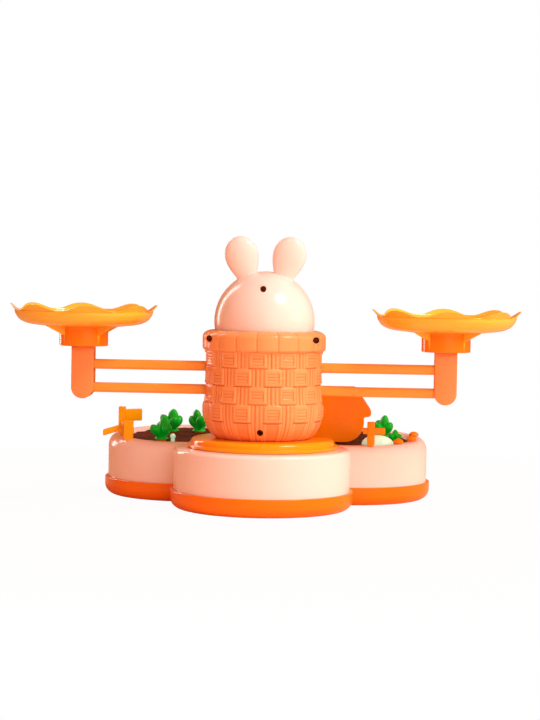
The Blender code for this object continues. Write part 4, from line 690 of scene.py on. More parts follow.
def outer_crossing(first, second):
    """Where two lobes' circles cross on the outside of the base."""
    a, b = Vector(first[0]), Vector(second[0])
    between = b - a
    distance = between.length
    reach = (distance**2 + first[1] ** 2 - second[1] ** 2) / (2 * distance)
    unit = between / distance
    across = Vector((unit.y, -unit.x)) * math.sqrt(first[1] ** 2 - reach**2)
    middle = Vector((0.0, (NEAR_LOBE[0][1] + SIDE_LOBE[0][1]) / 2))
    return max((a + unit * reach + across, a + unit * reach - across), key=lambda p: (p - middle).length)


def rim_rise(y):
    far = SIDE_LOBE[0][1] + SIDE_LOBE[1]
    start = NEAR_LOBE[0][1] + NEAR_LOBE[1] / 2
    return RIM_RISE * min(1.0, max(0.0, (y - start) / (far - start)))


def clover(near_inset, side_inset, near_z, side_z, rise=0.0):
    """One level of the base's outline, drawn in from the lip, anticlockwise from above."""
    (near, near_r), (side, side_r), (far, far_r) = NEAR_LOBE, SIDE_LOBE, FAR_LOBE
    lobes = (
        (near, near_r - near_inset, near_z, LOBE_STEPS[0]),
        (side, side_r - side_inset, side_z, LOBE_STEPS[1]),
        (far, far_r - side_inset, side_z, LOBE_STEPS[2]),
        ((-side[0], side[1]), side_r - side_inset, side_z, LOBE_STEPS[1]),
    )
    ring = []
    for index, (centre, radius, z, steps) in enumerate(lobes):
        entry = outer_crossing(lobes[index - 1], lobes[index]) - Vector(centre)
        leave = outer_crossing(lobes[index], lobes[(index + 1) % 4]) - Vector(centre)
        start, end = (math.degrees(math.atan2(v.y, v.x)) for v in (entry, leave))
        if end <= start:
            end += 360.0
        ring += [(x, y, z + rise * rim_rise(y)) for x, y in arc(centre, radius, start, end, steps)[:-1]]
    return ring


def level(inset, z):
    return clover(inset, inset, z, z)


def garden_ring(side, inset, z, steps=120):
    """A garden's outline, kept clear of the pedestal disc."""
    ring = []
    for x, y in arc((side * SIDE_LOBE[0][0], SIDE_LOBE[0][1]), WELL_RADIUS - inset, 0.0, 360.0, steps)[:-1]:
        push = max(1.0, (DISC_CLEAR + inset) / math.hypot(x, y))
        ring.append((x * push, y * push, z))
    return ring


def both_gardens(bm, section):
    """A body with each garden's outline, from (inset, height) points."""
    for side in (-1, 1):
        stack(bm, [garden_ring(side, inset, z) for inset, z in section])


def soil_height(y):
    near = SIDE_LOBE[0][1] - WELL_RADIUS
    return SOIL_NEAR_TOP + SOIL_RISE * (y - near) / (2 * WELL_RADIUS)


def plant_seat(y):
    return soil_height(y) + FURROW_DEPTH / 2 + GAP


def trim_foot(y):
    """Where a piece stands on the base's rim."""
    return DECK_TOP + rim_rise(y) + 2 * GAP


def root_holes(bm, low, high, side=0):
    """The carrots' holes, of both gardens or of one side's."""
    for x, y, scale, _ in CARROTS:
        if x * side >= 0:
            upright(bm, ROOT_RADIUS * scale + GAP, (x, y), low, high)


# The base


def make_bottom_shell():
    """The orange lower shell with its rounded bottom edge, lip, screw holes and foot recesses."""
    wall, floor = COVER_INSET + COVER_WALL, FOOT_HEIGHT + BOTTOM_WALL
    fillet = round_steps(0.0, 90.0, 10)
    section = [(BOTTOM_FILLET * (1 - s), FOOT_HEIGHT + BOTTOM_FILLET * (1 - c)) for c, s in fillet]
    section += arc((LIP_ROUND, LIP_TOP - LIP_ROUND), LIP_ROUND, 180.0, 90.0, 4)
    section += [(LIP_WIDTH, LIP_TOP), (LIP_WIDTH, LEDGE_TOP), (wall, LEDGE_TOP)]
    section += [(wall, floor + BOTTOM_WALL), (BOTTOM_FILLET, floor)]
    shell = form("bottom_shell", stack, [level(inset, z) for inset, z in section])

    def holes(bm):
        seat = FOOT_HEIGHT + BASE_SCREW_DEPTH
        profile = ((0.0, 0.0), (0.0024, 0.0), (0.0024, seat), (0.0017, seat), (0.0017, 0.02), (0.0, 0.02))
        for x, y in BASE_SCREWS:
            turned(bm, profile, 24, Matrix.Translation((x, y, 0.0)))
        for x, y in FEET:
            rod(bm, FOOT_RADIUS + GAP, (x, y, 0.0), (x, y, FOOT_HEIGHT + FOOT_RECESS), 48)

    cut(shell, holes)
    dress(shell, "base", SHELL_ORANGE, "shell_orange", "base_bottom_shell")


def make_cover_shell():
    """The cream upper shell: rounded top edge, raised far rim, deck and the two garden wells."""
    rings = [level(COVER_INSET, LEDGE_TOP + GAP)]
    for c, s in round_steps(0.0, 90.0, 10):
        insets = COVER_INSET + NEAR_FILLET * (1 - c), COVER_INSET + SIDE_FILLET * (1 - c)
        rings.append(clover(*insets, DECK_TOP - NEAR_FILLET * (1 - s), DECK_TOP - SIDE_FILLET * (1 - s), s))
    near_band = COVER_INSET + NEAR_FILLET + NEAR_BAND
    side_band = COVER_INSET + SIDE_FILLET + RIM_BAND
    for share in (0.0, 0.25, 0.5, 0.75, 1.0):
        fall = 0.5 + 0.5 * math.cos(math.pi * share)
        insets = near_band + NEAR_BAND * share, side_band + RIM_SLOPE * share
        rings.append(clover(*insets, DECK_TOP, DECK_TOP, fall))
    shell = form("cover_shell", stack, rings)
    inner, ceiling = COVER_INSET + COVER_WALL, DECK_TOP - COVER_WALL
    middle = clover(inner, inner, ceiling - NEAR_FILLET / 2, ceiling - SIDE_FILLET / 2)
    cut(shell, stack, [level(inner, LEDGE_TOP - GAP), middle, level(inner + SIDE_FILLET / 2, ceiling)])
    heights = WELL_FLOOR - COVER_WALL, ceiling + COVER_WALL / 2
    weld(shell, both_gardens, [(-COVER_WALL, z) for z in heights])
    lip = arc((0.0, DECK_TOP - WELL_LIP), WELL_LIP, 0.0, 90.0, 5)[1:]
    pocket = [(0.0, WELL_FLOOR), (0.0, DECK_TOP - WELL_LIP)] + [(x - WELL_LIP, z + 0.00002) for x, z in lip]
    cut(shell, both_gardens, pocket + [(-WELL_LIP, 2 * DECK_TOP)])
    cut(shell, root_holes, WELL_FLOOR - 0.006, WELL_FLOOR + 0.002)
    dress(shell, "base", CREAM, "cream", "base_top_shell")


def make_pedestal_disc():
    """The two-tier disc with its rounded shoulder and a bright rolled edge."""
    flange, under = DISC_BOTTOM + DISC_FLANGE, DISC_TOP - DISC_WALL
    edge, shoulder = DISC_EDGE_ROUND, DISC_SHOULDER_ROUND
    profile = [(DISC_RADIUS - 0.0004, DISC_BOTTOM)]
    profile += arc((DISC_RADIUS - edge, flange - edge), edge, 0.0, 90.0, 5)
    profile += [(DISC_TIER_RADIUS + 0.0007, flange), (DISC_TIER_RADIUS + 0.0002, flange + 0.0002)]
    profile += arc((DISC_TIER_RADIUS - shoulder, DISC_TOP - shoulder), shoulder, 0.0, 90.0, 12)
    profile += [(HUB_RADIUS, DISC_TOP), (HUB_RADIUS - DISC_WALL, DISC_TOP), (HUB_RADIUS - DISC_WALL, under)]
    profile += [(DISC_RADIUS - 0.0047, under), (DISC_RADIUS - 0.0047, DISC_BOTTOM)]
    disc = form("pedestal_tiers", turned, profile, 160)
    dress(disc, "base", DISC_HONEY, "tray_orange", "pedestal_disc")


# The basket


def sample(points, step):
    """Points along a polyline at about a step's distance."""
    out = [points[0]]
    for a, b in zip(points, points[1:]):
        count = max(1, round(math.dist(a, b) / step))
        out += [tuple(p + (q - p) * k / count for p, q in zip(a, b)) for k in range(1, count + 1)]
    return out


def basket_loop():
    """The basket's section as (radius, height, outward radius, outward height, weave share, wrap share)."""
    foot, bulge = BASKET_FOOT_RADIUS, BASKET_BOTTOM + BULGE_RISE
    top = BASKET_RADIUS - WEAVE_RELIEF
    reach = top + BASKET_BULGE - foot
    outside = [(foot, BASKET_BOTTOM)]
    round_foot = round_steps(-90.0, 0.0, 40)[1:]
    outside += [(foot + reach * c, BASKET_BOTTOM + BULGE_RISE * (1 + s)) for c, s in round_foot]
    for share in (k / 12 for k in range(1, 13)):
        ease = share * share * (3 - 2 * share)
        outside.append((top + BASKET_BULGE * (1 - ease), bulge + (TAPER_RISE - BULGE_RISE) * share))
    outside = sample(outside + [(top, RIM_BOTTOM - GAP)], 0.0005)
    mouth = math.sqrt(FRONT_HEAD_RADIUS**2 - (HEAD_Z - RIM_TOP) ** 2) + 2 * GAP
    across = RIM_RADIUS - mouth - 0.0004
    low = arc((RIM_RADIUS - RIM_ROUND, RIM_BOTTOM + RIM_ROUND), RIM_ROUND, -90.0, 0.0, 6)
    brow = round_steps(0.0, 90.0, 16)
    high = [(RIM_RADIUS - across * (1 - c), RIM_TOP - RIM_DROP * (1 - s)) for c, s in brow]
    rim = sample(low, 0.0007) + sample([low[-1], high[0]], 0.0008)[1:] + sample(high[1:], 0.0007)
    inner, floor = BASKET_RADIUS - BASKET_WALL - 0.0004, BASKET_BOTTOM + BASKET_WALL
    inside = [(mouth, RIM_TOP - 0.0002), (mouth, RIM_TOP - BASKET_WALL), (inner, RIM_TOP - BASKET_WALL)]
    inside += [(inner, BASKET_BOTTOM + TAPER_RISE), (inner, bulge)]
    bowl = round_steps(0.0, -90.0, 10)[1:]
    inside += [(foot + (inner - foot) * c, floor + (BULGE_RISE - BASKET_WALL) * (1 + s)) for c, s in bowl]
    inside += [(HUB_RADIUS + GAP, floor), (HUB_RADIUS + GAP, BASKET_BOTTOM)]
    rows = []
    for points, weave, wrap in ((outside, 1.0, 0.0), (rim, 0.0, 1.0)):
        for k, (r, z) in enumerate(points):
            (r0, z0), (r1, z1) = points[max(0, k - 1)], points[min(len(points) - 1, k + 1)]
            length = math.hypot(r1 - r0, z1 - z0)
            rows.append((r, z, (z1 - z0) / length, (r0 - r1) / length, weave, wrap))
    return rows + [(r, z, 0.0, 0.0, 0.0, 0.0) for r, z in inside]


def woven_relief(tree, geometry, size):
    """Framed pads with strands across, ribs that run down between them, and a wrapped rim, with painted shade
    stored in their grooves.
    """
    turn, height, weave, wrap = (stored(tree, name) for name in ("turn", "height", "weave", "wrap"))

    column = (turn - WEAVE_TURN) * size["Columns"]
    w = (size["Row Top"] - height) / size["Row Pitch"]
    row = w.math("FLOOR").within(0.0, WEAVE_ROWS - 1.0)
    odd = row.math("MODULO", 2.0)
    dx = (column - odd + 2.0 * WEAVE_COLUMNS).math("PINGPONG", 1.0)
    dy = w - row - 0.5
    below = dy.inside(0.50, 0.04).less_from(1.0)

    frame_height = dx.rounded_edge(0.45, 0.62) * (dy + 0.03).size().rounded_edge(0.37, 0.50)
    panel = dx.inside(0.37, 0.05) * (dy - 0.01).size().inside(0.25, 0.05)
    strands = dy.line(-0.075, 0.05).higher(dy.line(0.095, 0.05)) * panel
    edge_line = dx.line(0.37, 0.045) * dy.size().inside(0.27, 0.06)
    end_lines = dy.line(-0.245, 0.045).higher(dy.line(0.265, 0.045)) * dx.inside(0.38, 0.05)
    edge_line = edge_line.higher(end_lines)
    pad = frame_height - panel * 0.20 - strands.higher(edge_line) * size["Groove"]

    from_rib = dx.less_from(1.0)
    rib = (from_rib.math("PINGPONG", 0.135) / 0.135).within(0.0, 1.0).dome() * 0.46 + 0.16
    rib = rib * from_rib.inside(0.41, 0.03)
    band_place = ((dx - 0.50).size() / 0.13).within(0.0, 1.0)
    band = (band_place.dome() * 0.45 + 0.25) * band_place.inside(0.97, 0.06) * below
    under = dx.inside(0.37, 0.03) * below * 0.47
    shape = pad.higher(rib).higher(band).higher(under)

    wrap_place = ((turn - WRAP_TURN) * size["Wraps"] + 2.0 * RIM_WRAPS).math("PINGPONG", 0.5)
    pillow = (wrap_place * 2.0).less_from(1.0)
    pillow = (pillow * pillow).less_from(1.0) * 0.0004
    seam = wrap_place.line(0.0, 0.045)
    rise = shape * size["Relief"] * weave + (pillow - seam * size["Wrap Groove"] - 0.0004) * wrap

    # Painted shade in the grooves: the deeper a point lies below the pads, and on strands, edge lines and rim
    # seams, the darker it is marked.
    crevice = (shape.less_from(0.60) / 0.45).within(0.0, 1.0).higher(strands.higher(edge_line) * 0.75) * weave
    marked = add(tree, "GeometryNodeStoreNamedAttribute", {"Geometry": geometry, "Name": "crevice"})
    value = next(socket for socket in marked.inputs if socket.name == "Value" and socket.enabled)
    tree.links.new(crevice.higher(seam * 0.7 * wrap).socket, value)
    outward = stored(tree, "outward", "FLOAT_VECTOR")
    offset = add(tree, "ShaderNodeVectorMath", {0: outward, "Scale": rise}, operation="SCALE")
    return moved(tree, marked.outputs[0], offset.outputs[0])


def half_shell(name, loop, side, steps):
    """Half of a turned shell with what the woven relief needs on its points."""
    loop = np.array(loop)
    count = len(loop)
    angle = math.pi * np.arange(steps + 1) / steps
    cos, sin = np.cos(angle)[:, None], np.sin(angle)[:, None]
    rows = (np.repeat(row[None], steps + 1, 0) for row in loop.T)
    radius, height, out_radius, out_height, weave, wrap = rows
    points = np.stack([radius * cos, side * (GAP / 2 + radius * sin) + AXIS_Y, height], -1).reshape(-1, 3)
    faces = []
    for k in range(steps):
        for j in range(count):
            after = (j + 1) % count
            a, b = k * count + j, k * count + after
            faces.append((a, b, b + count, a + count) if side > 0 else (a, a + count, b + count, b))
    first, last = list(range(count)), [steps * count + j for j in range(count)]
    faces += [first, last[::-1]] if side < 0 else [first[::-1], last]
    mesh = bpy.data.meshes.new(name)
    mesh.from_pydata(points.tolist(), [], faces)
    turn = np.repeat(((side * angle + math.pi / 2) / (2 * math.pi))[:, None], count, 1)
    for label, values in (("turn", turn), ("height", height), ("weave", weave), ("wrap", wrap)):
        store(mesh, label, values)
    outward = np.stack([out_radius * cos, side * out_radius * sin, out_height], -1)
    store(mesh, "outward", outward, "FLOAT_VECTOR")
    return link(name, mesh)


def make_basket():
    """The woven basket's two shells, with windows for the bars and, at the back, three screw holes."""
    sizes = {
        "Columns": float(WEAVE_COLUMNS), "Row Top": WEAVE_TOP, "Row Pitch": WEAVE_PITCH,
        "Relief": WEAVE_RELIEF, "Groove": 0.34, "Wraps": float(RIM_WRAPS), "Wrap Groove": 0.0006,
    }
    tree = geometry_tree("woven_relief", sizes, woven_relief)
    loop = basket_loop()
    window = BASKET_RADIUS * math.sin(BEAM_TILT) + BAR_HEIGHT / 2 + SIDE_PLAY
    holes = ((-RIM_HOLE_X, RIM_HOLE_Z, 0.022), (RIM_HOLE_X, RIM_HOLE_Z, 0.022), (0.0, LOW_HOLE_Z, 0.038))

    def windows(bm):
        for way in (-1, 1):
            near, far = sorted((way * BASKET_RADIUS / 2, way * 2 * BASKET_RADIUS))
            low, high = LOWER_PIVOT_Z - window, UPPER_PIVOT_Z + window
            block(bm, (near, -WINDOW_HALF_DEPTH, low), (far, WINDOW_HALF_DEPTH, high))

    for place, side in (("back", -1), ("front", 1)):
        shell = half_shell(f"basket_weave_{place}", loop, side, 288)
        grow(shell, tree, {"Material": PEACH})
        cut(shell, windows)
        if side < 0:
            for x, z, depth in holes:
                weld(shell, rod, BOSS_RADIUS, (x, -0.001, z), (x, -depth, z))
            for x, z, _ in holes:
                cut(shell, rod, HOLE_RADIUS, (x, -SCREW_SEAT, z), (x, -0.1, z))
        dress(shell, "base", PEACH, "basket_orange", f"basket_{place}_shell", angle=60.0)


# The rabbit


def make_head():
    """The head's two shells; the front one is a little larger, so that its edge shows as a step."""
    for place, side, radius in (("back", -1, HEAD_RADIUS), ("front", 1, FRONT_HEAD_RADIUS)):
        within = radius - HEAD_WALL
        start, inner_start = (math.degrees(math.asin((HEAD_LOW - HEAD_Z) / r)) for r in (radius, within))
        profile = arc((0.0, HEAD_Z), radius, start, 90.0, 64)[:-1]
        profile += [(0.0, HEAD_Z + radius), (0.0, HEAD_Z + within)]
        profile += arc((0.0, HEAD_Z), within, 90.0, inner_start, 32)[1:]
        cap = form(f"head_cap_{place}", turned, profile, 96, side=side)
        if side < 0:
            z = HEAD_Z + HEAD_HOLE_RISE
            weld(cap, rod, BOSS_RADIUS, (0.0, -0.001, z), (0.0, -0.0262, z))
            cut(cap, rod, PIN_BORE_RADIUS, (0.0, -SCREW_SEAT, z), (0.0, -0.1, z))
        dress(cap, "base", CREAM, "cream", f"head_{place}_shell")


def ear_matrix(lean):
    root_z = HEAD_Z + math.sqrt(HEAD_RADIUS**2 - EAR_X**2)
    return Matrix.Translation((lean * EAR_X, 0.0, root_z)) @ rotation(lean * EAR_LEAN, "Y")


def make_ears():
    """Egg-shaped ears with a soft pink hollow on the face's side."""
    widest = EAR_LENGTH - EAR_CROWN
    profile = [(0.0, -EAR_SUNK)]
    for k in range(19):
        s = -EAR_SUNK + (widest + EAR_SUNK) * k / 18
        share = math.sin(max(0.0, s) / widest * math.pi / 2)
        profile.append((EAR_ROOT_HALF_WIDTH + (EAR_HALF_WIDTH - EAR_ROOT_HALF_WIDTH) * share, s))
    profile += [(EAR_HALF_WIDTH * c, widest + EAR_CROWN * s) for c, s in round_steps(0.0, 90.0, 20)[1:-1]]
    profile.append((0.0, EAR_LENGTH))
    flat = Matrix.Diagonal((1.0, EAR_HALF_DEPTH / EAR_HALF_WIDTH, 1.0, 1.0))
    hollow = Matrix.Translation((0.0, EAR_HALF_DEPTH - 0.0013, EAR_LENGTH * 0.54))
    hollow = hollow @ Matrix.Diagonal((EAR_HALF_WIDTH * 0.52, 0.0016, EAR_LENGTH * 0.31, 1.0))
    for hand, lean in HANDS:
        ear = form(f"ear_{hand}", turned, profile, 64, ear_matrix(lean) @ flat)
        dress(ear, "base", CREAM, "cream", f"{hand}_ear")
        dress(form(f"ear_{hand}_lining", ball, ear_matrix(lean) @ hollow, 48), "base", PINK, "pink_trim")


def face_at(x, rise, distance):
    depth = math.sqrt(FRONT_HEAD_RADIUS**2 - x**2 - rise**2)
    direction = Vector((x, depth, rise)).normalized()
    return Vector((0.0, 0.0, HEAD_Z)) + direction * distance, direction


def face_dome(name, x, rise, half_width, half_height, proud, material, slot, *nodes):
    """A low oval dome on the front of the head."""
    seat, outward = face_at(x, rise, FRONT_HEAD_RADIUS - 0.0002)
    turn = outward.to_track_quat("Y", "Z").to_matrix().to_4x4()
    matrix = Matrix.Translation(seat) @ turn @ Matrix.Diagonal((half_width, proud, half_height, 1.0))
    dress(form(name, ball, matrix, 40), "base", material, slot, *nodes)


def mouth_line(bm):
    points = []
    for k in range(25):
        share = k / 24 * 2 - 1
        rise = -0.0017 - 0.0018 * (1 - abs(math.cos(math.pi * share)))
        points.append(face_at(0.0046 * share, rise, FRONT_HEAD_RADIUS + 0.0001)[0])
    for a, b in zip(points, points[1:]):
        rod(bm, 0.0004, a, b, 10)


def make_face():
    """Eyes, nose, cheeks and a short mouth line, all on the far side."""
    for hand, way in HANDS:
        x = way * 0.0125
        face_dome(f"eye_{hand}", x, 0.010, 0.0028, 0.0040, 0.0016, EYE_BLACK, "black_trim", f"{hand}_eye")
    face_dome("nose_button", 0.0, 0.0035, 0.0030, 0.0021, 0.0016, PINK, "pink_trim", "nose")
    for hand, way in HANDS:
        face_dome(f"cheek_{hand}", way * 0.0195, 0.0015, 0.0036, 0.0026, 0.0006, PINK, "pink_trim")
    dress(form("mouth_line", mouth_line), "base", EYE_BLACK, "black_trim")


# The balance


def make_bars():
    """The two bars: rounded edges, a slight crown on their faces, round ends, pegs and a bored boss."""
    half, reach = BAR_HEIGHT / 2, BAR_DEPTH / 2 + SIDE_PLAY / 2
    section = [(0.004, 0.0016), (0.0037, 0.0008), (0.0029, 0.0002), (0.0016, 0.0)]
    section += [(-y, inset) for y, inset in reversed(section)]
    for place, z in (("upper", UPPER_PIVOT_Z), ("lower", LOWER_PIVOT_Z)):
        layers = []
        for y, inset in section:
            outline = arc((PIVOT_X, z), half - inset, -90.0, 90.0, 20)
            outline += arc((-PIVOT_X, z), half - inset, 90.0, 270.0, 20)
            layers.append([(x, y, height) for x, height in outline])
        bar = form(f"{place}_bar", stack, layers)
        weld(bar, rod, HUB_BOSS_RADIUS, (0.0, -reach, z), (0.0, reach, z), 48)
        for x in (-PIVOT_X, PIVOT_X):
            weld(bar, rod, PEG_RADIUS, (x, -0.0061, z), (x, 0.0061, z), 32, 0.0003)
        cut(bar, rod, PIN_BORE_RADIUS, (0.0, -0.01, z), (0.0, 0.01, z))
        dress(bar, f"{place}_beam", BAR_ORANGE, "bar_orange", f"{place}_beam")


def make_posts():
    """U-channel posts, open towards the basket, with a rounded foot and a plug for the tray."""
    half, depth = POST_WIDTH / 2, BAR_DEPTH / 2 + SIDE_PLAY
    inside, ceiling = half - POST_WALL, POST_TOP - 0.004
    entry = LOWER_PIVOT_Z - BAR_HEIGHT / 2 - half * math.sin(BEAM_TILT) - SIDE_PLAY
    for hand, side in HANDS:
        x = side * PIVOT_X
        outline = arc((x, LOWER_PIVOT_Z), half, 180.0, 360.0, 40)
        left, right, low = x - half, x + half, POST_TOP - 0.02
        outline += [(right, low), (right, POST_TOP), (left, POST_TOP), (left, low)]
        post = form(f"post_{hand}", plate, outline, POST_DEPTH / 2, 0.0, 0.0009)
        beyond = x - side * POST_WIDTH
        section = arc((x, LOWER_PIVOT_Z), inside, -90.0, 0.0 if side > 0 else -180.0, 20)
        section += [(x + side * inside, ceiling), (beyond, ceiling), (beyond, entry), (x, entry)]

        def sockets(bm):
            for z in (UPPER_PIVOT_Z, LOWER_PIVOT_Z):
                rod(bm, PEG_RADIUS + 0.00025, (x, -0.0064, z), (x, 0.0064, z))

        weld(post, rod, 0.006, (x, 0.0, POST_TOP - 0.002), (x, 0.0, POST_TOP + 0.0093), 48, 0.0006)
        cut(post, stack, [[(px, y, pz) for px, pz in section] for y in (depth, -depth)])
        cut(post, sockets)
        dress(post, f"{hand}_post", POST_PEACH, "basket_orange", f"{hand}_post")


def scalloped_brim(tree, geometry, size):
    """Raises and spreads a turned tray's brim in round lobes, as far as each point's own share says."""
    _, x, y = point_place(tree)
    x, y = x - size["Centre X"], y - size["Centre Y"]
    angle = y.math("ARCTAN2", x)
    wave = ((angle - size["Turn"]) * size["Lobes"] / 2.0).math("SINE").size().math("POWER", 2.3)
    wave = (wave * -2.0 + 1.0) * stored(tree, "share")
    out = wave * size["Spread"]
    inputs = {0: out * angle.math("COSINE"), 1: out * angle.math("SINE"), 2: wave * size["Rise"]}
    return moved(tree, geometry, add(tree, "ShaderNodeCombineXYZ", inputs).outputs[0])


def tray_profile():
    """The tray's section as (radius, height, share of the scallop): bowl, round crease and brim."""
    floor, socket, inner, outer = COLLAR_HEIGHT, SOCKET_RADIUS, SOCKET_RADIUS + SOCKET_WALL, COLLAR_RADIUS
    collar = [
        (0.0, floor), (socket, floor), (socket, 0.0005), (socket + 0.0003, 0.0), (inner, 0.0), (inner, floor),
        (outer - SOCKET_WALL, floor), (outer - SOCKET_WALL, 0.0), (outer - 0.0004, 0.0), (outer, 0.0004),
        (outer, floor - 0.0008), (outer + 0.0008, floor),
    ]
    under = [
        (0.0205, 0.0), (0.0300, 0.0011), (0.0380, 0.0020), (0.0430, 0.0033), (0.0470, 0.0056),
        (0.0495, 0.0090), (0.0503, 0.0113),
    ]
    crease = [(0.0505, 0.0118), (0.0500, 0.0120), (0.0501, 0.0121)]
    brim = [(0.0501, 0.0121, 0.0), (0.0508, 0.0129, 0.25), (0.0515, 0.0136, 0.62), (0.0521, 0.0141, 0.93)]
    lip = [(0.0522, 0.0143, 1.0), (0.0519, 0.0145, 1.0), (0.0512, 0.0144, 1.0)]
    inside = [
        (0.0508, 0.0142, 0.95), (0.0498, 0.0133, 0.45), (0.0489, 0.0124, 0.0), (0.0475, 0.0092, 0.0),
        (0.0450, 0.0064, 0.0), (0.0415, 0.0046, 0.0), (0.0370, 0.0036, 0.0), (0.0300, 0.0028, 0.0),
        (0.0205, TRAY_WALL, 0.0),
    ]
    bowl = [(r, z, 0.0) for r, z in spline(under, 7) + crease]
    bowl += spline(brim, 6)[1:] + lip + spline(inside, 5) + [(0.0, TRAY_WALL, 0.0)]
    return [(r, z, 0.0) for r, z in collar] + [(r, floor + z, share) for r, z, share in bowl]


def gussets(bm, x):
    """Four webs between a tray's bowl and its collar."""
    outline = (
        (0.0167, -0.0058), (0.0177, -0.0058), (0.0330, 0.0009), (0.0350, 0.0022), (0.0200, 0.0009),
        (0.0167, 0.0009),
    )
    foot = TRAY_BOTTOM + COLLAR_HEIGHT
    for angle in (45.0, 135.0, 225.0, 315.0):
        c, s = arc((0.0, 0.0), 1.0, angle, angle, 1)[0]
        sides = []
        for half in (GUSSET_HALF_WIDTH, -GUSSET_HALF_WIDTH):
            sides.append([(x + r * c - half * s, r * s + half * c, foot + z) for r, z in outline])
        stack(bm, sides)


def make_trays():
    """The scalloped trays with their collars, sockets and four gussets, with painted shade on the collars
    under the bowls.
    """
    sizes = {"Lobes": float(TRAY_LOBES), "Rise": SCALLOP, "Spread": SCALLOP_OUT[1]}
    sizes |= {"Centre X": 0.0, "Centre Y": 0.0, "Turn": 0.0}
    tree = geometry_tree("scalloped_brim", sizes, scalloped_brim)
    profile = tray_profile()
    points = [TRAY_STEPS if radius > 1e-9 else 1 for radius, _, _ in profile]
    shares = [share for _, _, share in profile]
    # Painted shade under the bowl: full on the collar and socket, fading out just above them.
    fade = 0.0020
    painted_collar_shade = [min(1.0, max(0.0, (COLLAR_HEIGHT + fade - z) / fade)) * (r > 0.001) for r, z, _ in profile]
    for hand, side in HANDS:
        x = side * PIVOT_X
        outline = [(radius, height) for radius, height, _ in profile]
        tray = form(f"tray_{hand}", turned, outline, TRAY_STEPS, Matrix.Translation((x, 0.0, TRAY_BOTTOM)))
        store(tray.data, "share", np.repeat(shares, points))
        store(tray.data, "painted_collar_shade", np.repeat(painted_collar_shade, points))
        inputs = {"Centre X": x, "Centre Y": AXIS_Y, "Spread": SCALLOP_OUT[side], "Turn": TRAY_TURNS[side]}
        grow(tray, tree, {"Material": HONEY, **inputs})
        weld(tray, gussets, x)
        dress(tray, f"{hand}_tray", HONEY, "tray_orange", f"{hand}_tray", angle=30.0)


# The gardens


def furrowed_soil(tree, geometry, size):
    """Furrows across a bed of soil, uneven and crumbly, where each point's share lets them."""
    place, _, y = point_place(tree)
    y = y + (noise(place, 45.0, 2.0) - 0.5) * 0.006
    wave = ((y - size["Start"]) / size["Pitch"]).math("PINGPONG", 0.5) * 4.0 - 1.0
    crumbs = (noise(place, 320.0, 3.0) - 0.55) * size["Crumbs"] * 2.0
    rise = (wave * size["Depth"] * 0.5 + crumbs) * stored(tree, "share")
    return moved(tree, geometry, add(tree, "ShaderNodeCombineXYZ", {2: rise}).outputs[0])


def make_soil_beds():
    """The two beds of furrowed soil, with a hole for each carrot."""
    sizes = {"Pitch": FURROW_PITCH, "Depth": FURROW_DEPTH, "Crumbs": 0.0006, "Start": 0.0}
    tree = geometry_tree("furrowed_soil", sizes, furrowed_soil)
    start = AXIS_Y + SIDE_LOBE[0][1] - WELL_RADIUS - FURROW_PITCH
    for hand, side in HANDS:
        outline = [Vector(p) for p in garden_ring(side, GAP, 0.0, SOIL_STEPS)]
        centre = sum(outline, Vector()) / len(outline)
        rings = [[(p.x, p.y, WELL_FLOOR + GAP) for p in outline]]
        for k in range(SOIL_RINGS):
            points = [centre + (p - centre) * (1 - k / SOIL_RINGS) for p in outline]
            rings.append([(p.x, p.y, soil_height(p.y) - (0.0 if k else 0.0004)) for p in points])
        bed = form(f"soil_{hand}", stack, rings)
        store(bed.data, "share", np.repeat([0.0, 1.0], [2 * SOIL_STEPS, (SOIL_RINGS - 1) * SOIL_STEPS]))
        grow(bed, tree, {"Material": SOIL, "Start": start})
        cut(bed, root_holes, WELL_FLOOR - 0.002, 0.06, side)
        dress(bed, "base", SOIL, "soil_brown", f"{hand}_soil_bed", angle=50.0)


def copies_on_points(tree, geometry, size):
    """Copies a shape onto points, each with its own turn and size."""
    info = add(tree, "GeometryNodeObjectInfo", {"Object": size["Shape"]})
    turn = add(tree, "FunctionNodeEulerToRotation", {0: stored(tree, "turn", "FLOAT_VECTOR")})
    inputs = {
        "Points": geometry, "Instance": info.outputs["Geometry"], "Rotation": turn.outputs[0],
        "Scale": stored(tree, "size", "FLOAT_VECTOR"),
    }
    return add(tree, "GeometryNodeInstanceOnPoints", inputs).outputs[0]


INSTANCES = geometry_tree("copies_on_points", {"Shape": None}, copies_on_points)


def copies(name, shape, places, material):
    """One mesh of a shape's copies at (place, turn, size) places, measured from the basket's axis."""
    mesh = bpy.data.meshes.new(name)
    mesh.from_pydata([(x, y + AXIS_Y, z) for (x, y, z), _, _ in places], [], [])
    store(mesh, "turn", [tuple(turn.to_euler()) for _, turn, _ in places], "FLOAT_VECTOR")
    store(mesh, "size", [size for _, _, size in places], "FLOAT_VECTOR")
    made = grow(link(name, mesh), INSTANCES, {"Material": material, "Shape": shape})
    bpy.data.objects.remove(shape, do_unlink=True)
    return made


def leaf_shape(bm):
    """A fat leaf: narrow at its foot, widest past its middle, round at its tip."""
    profile = [(0.0, 0.0)]
    for t in (k / 20 for k in range(1, 20)):
        width = math.sin(math.pi * t**1.25) ** 0.62 * (0.62 + 0.38 * t)
        profile.append((width * 0.5, t))
    turned(bm, profile + [(0.0, 1.0)], 28)


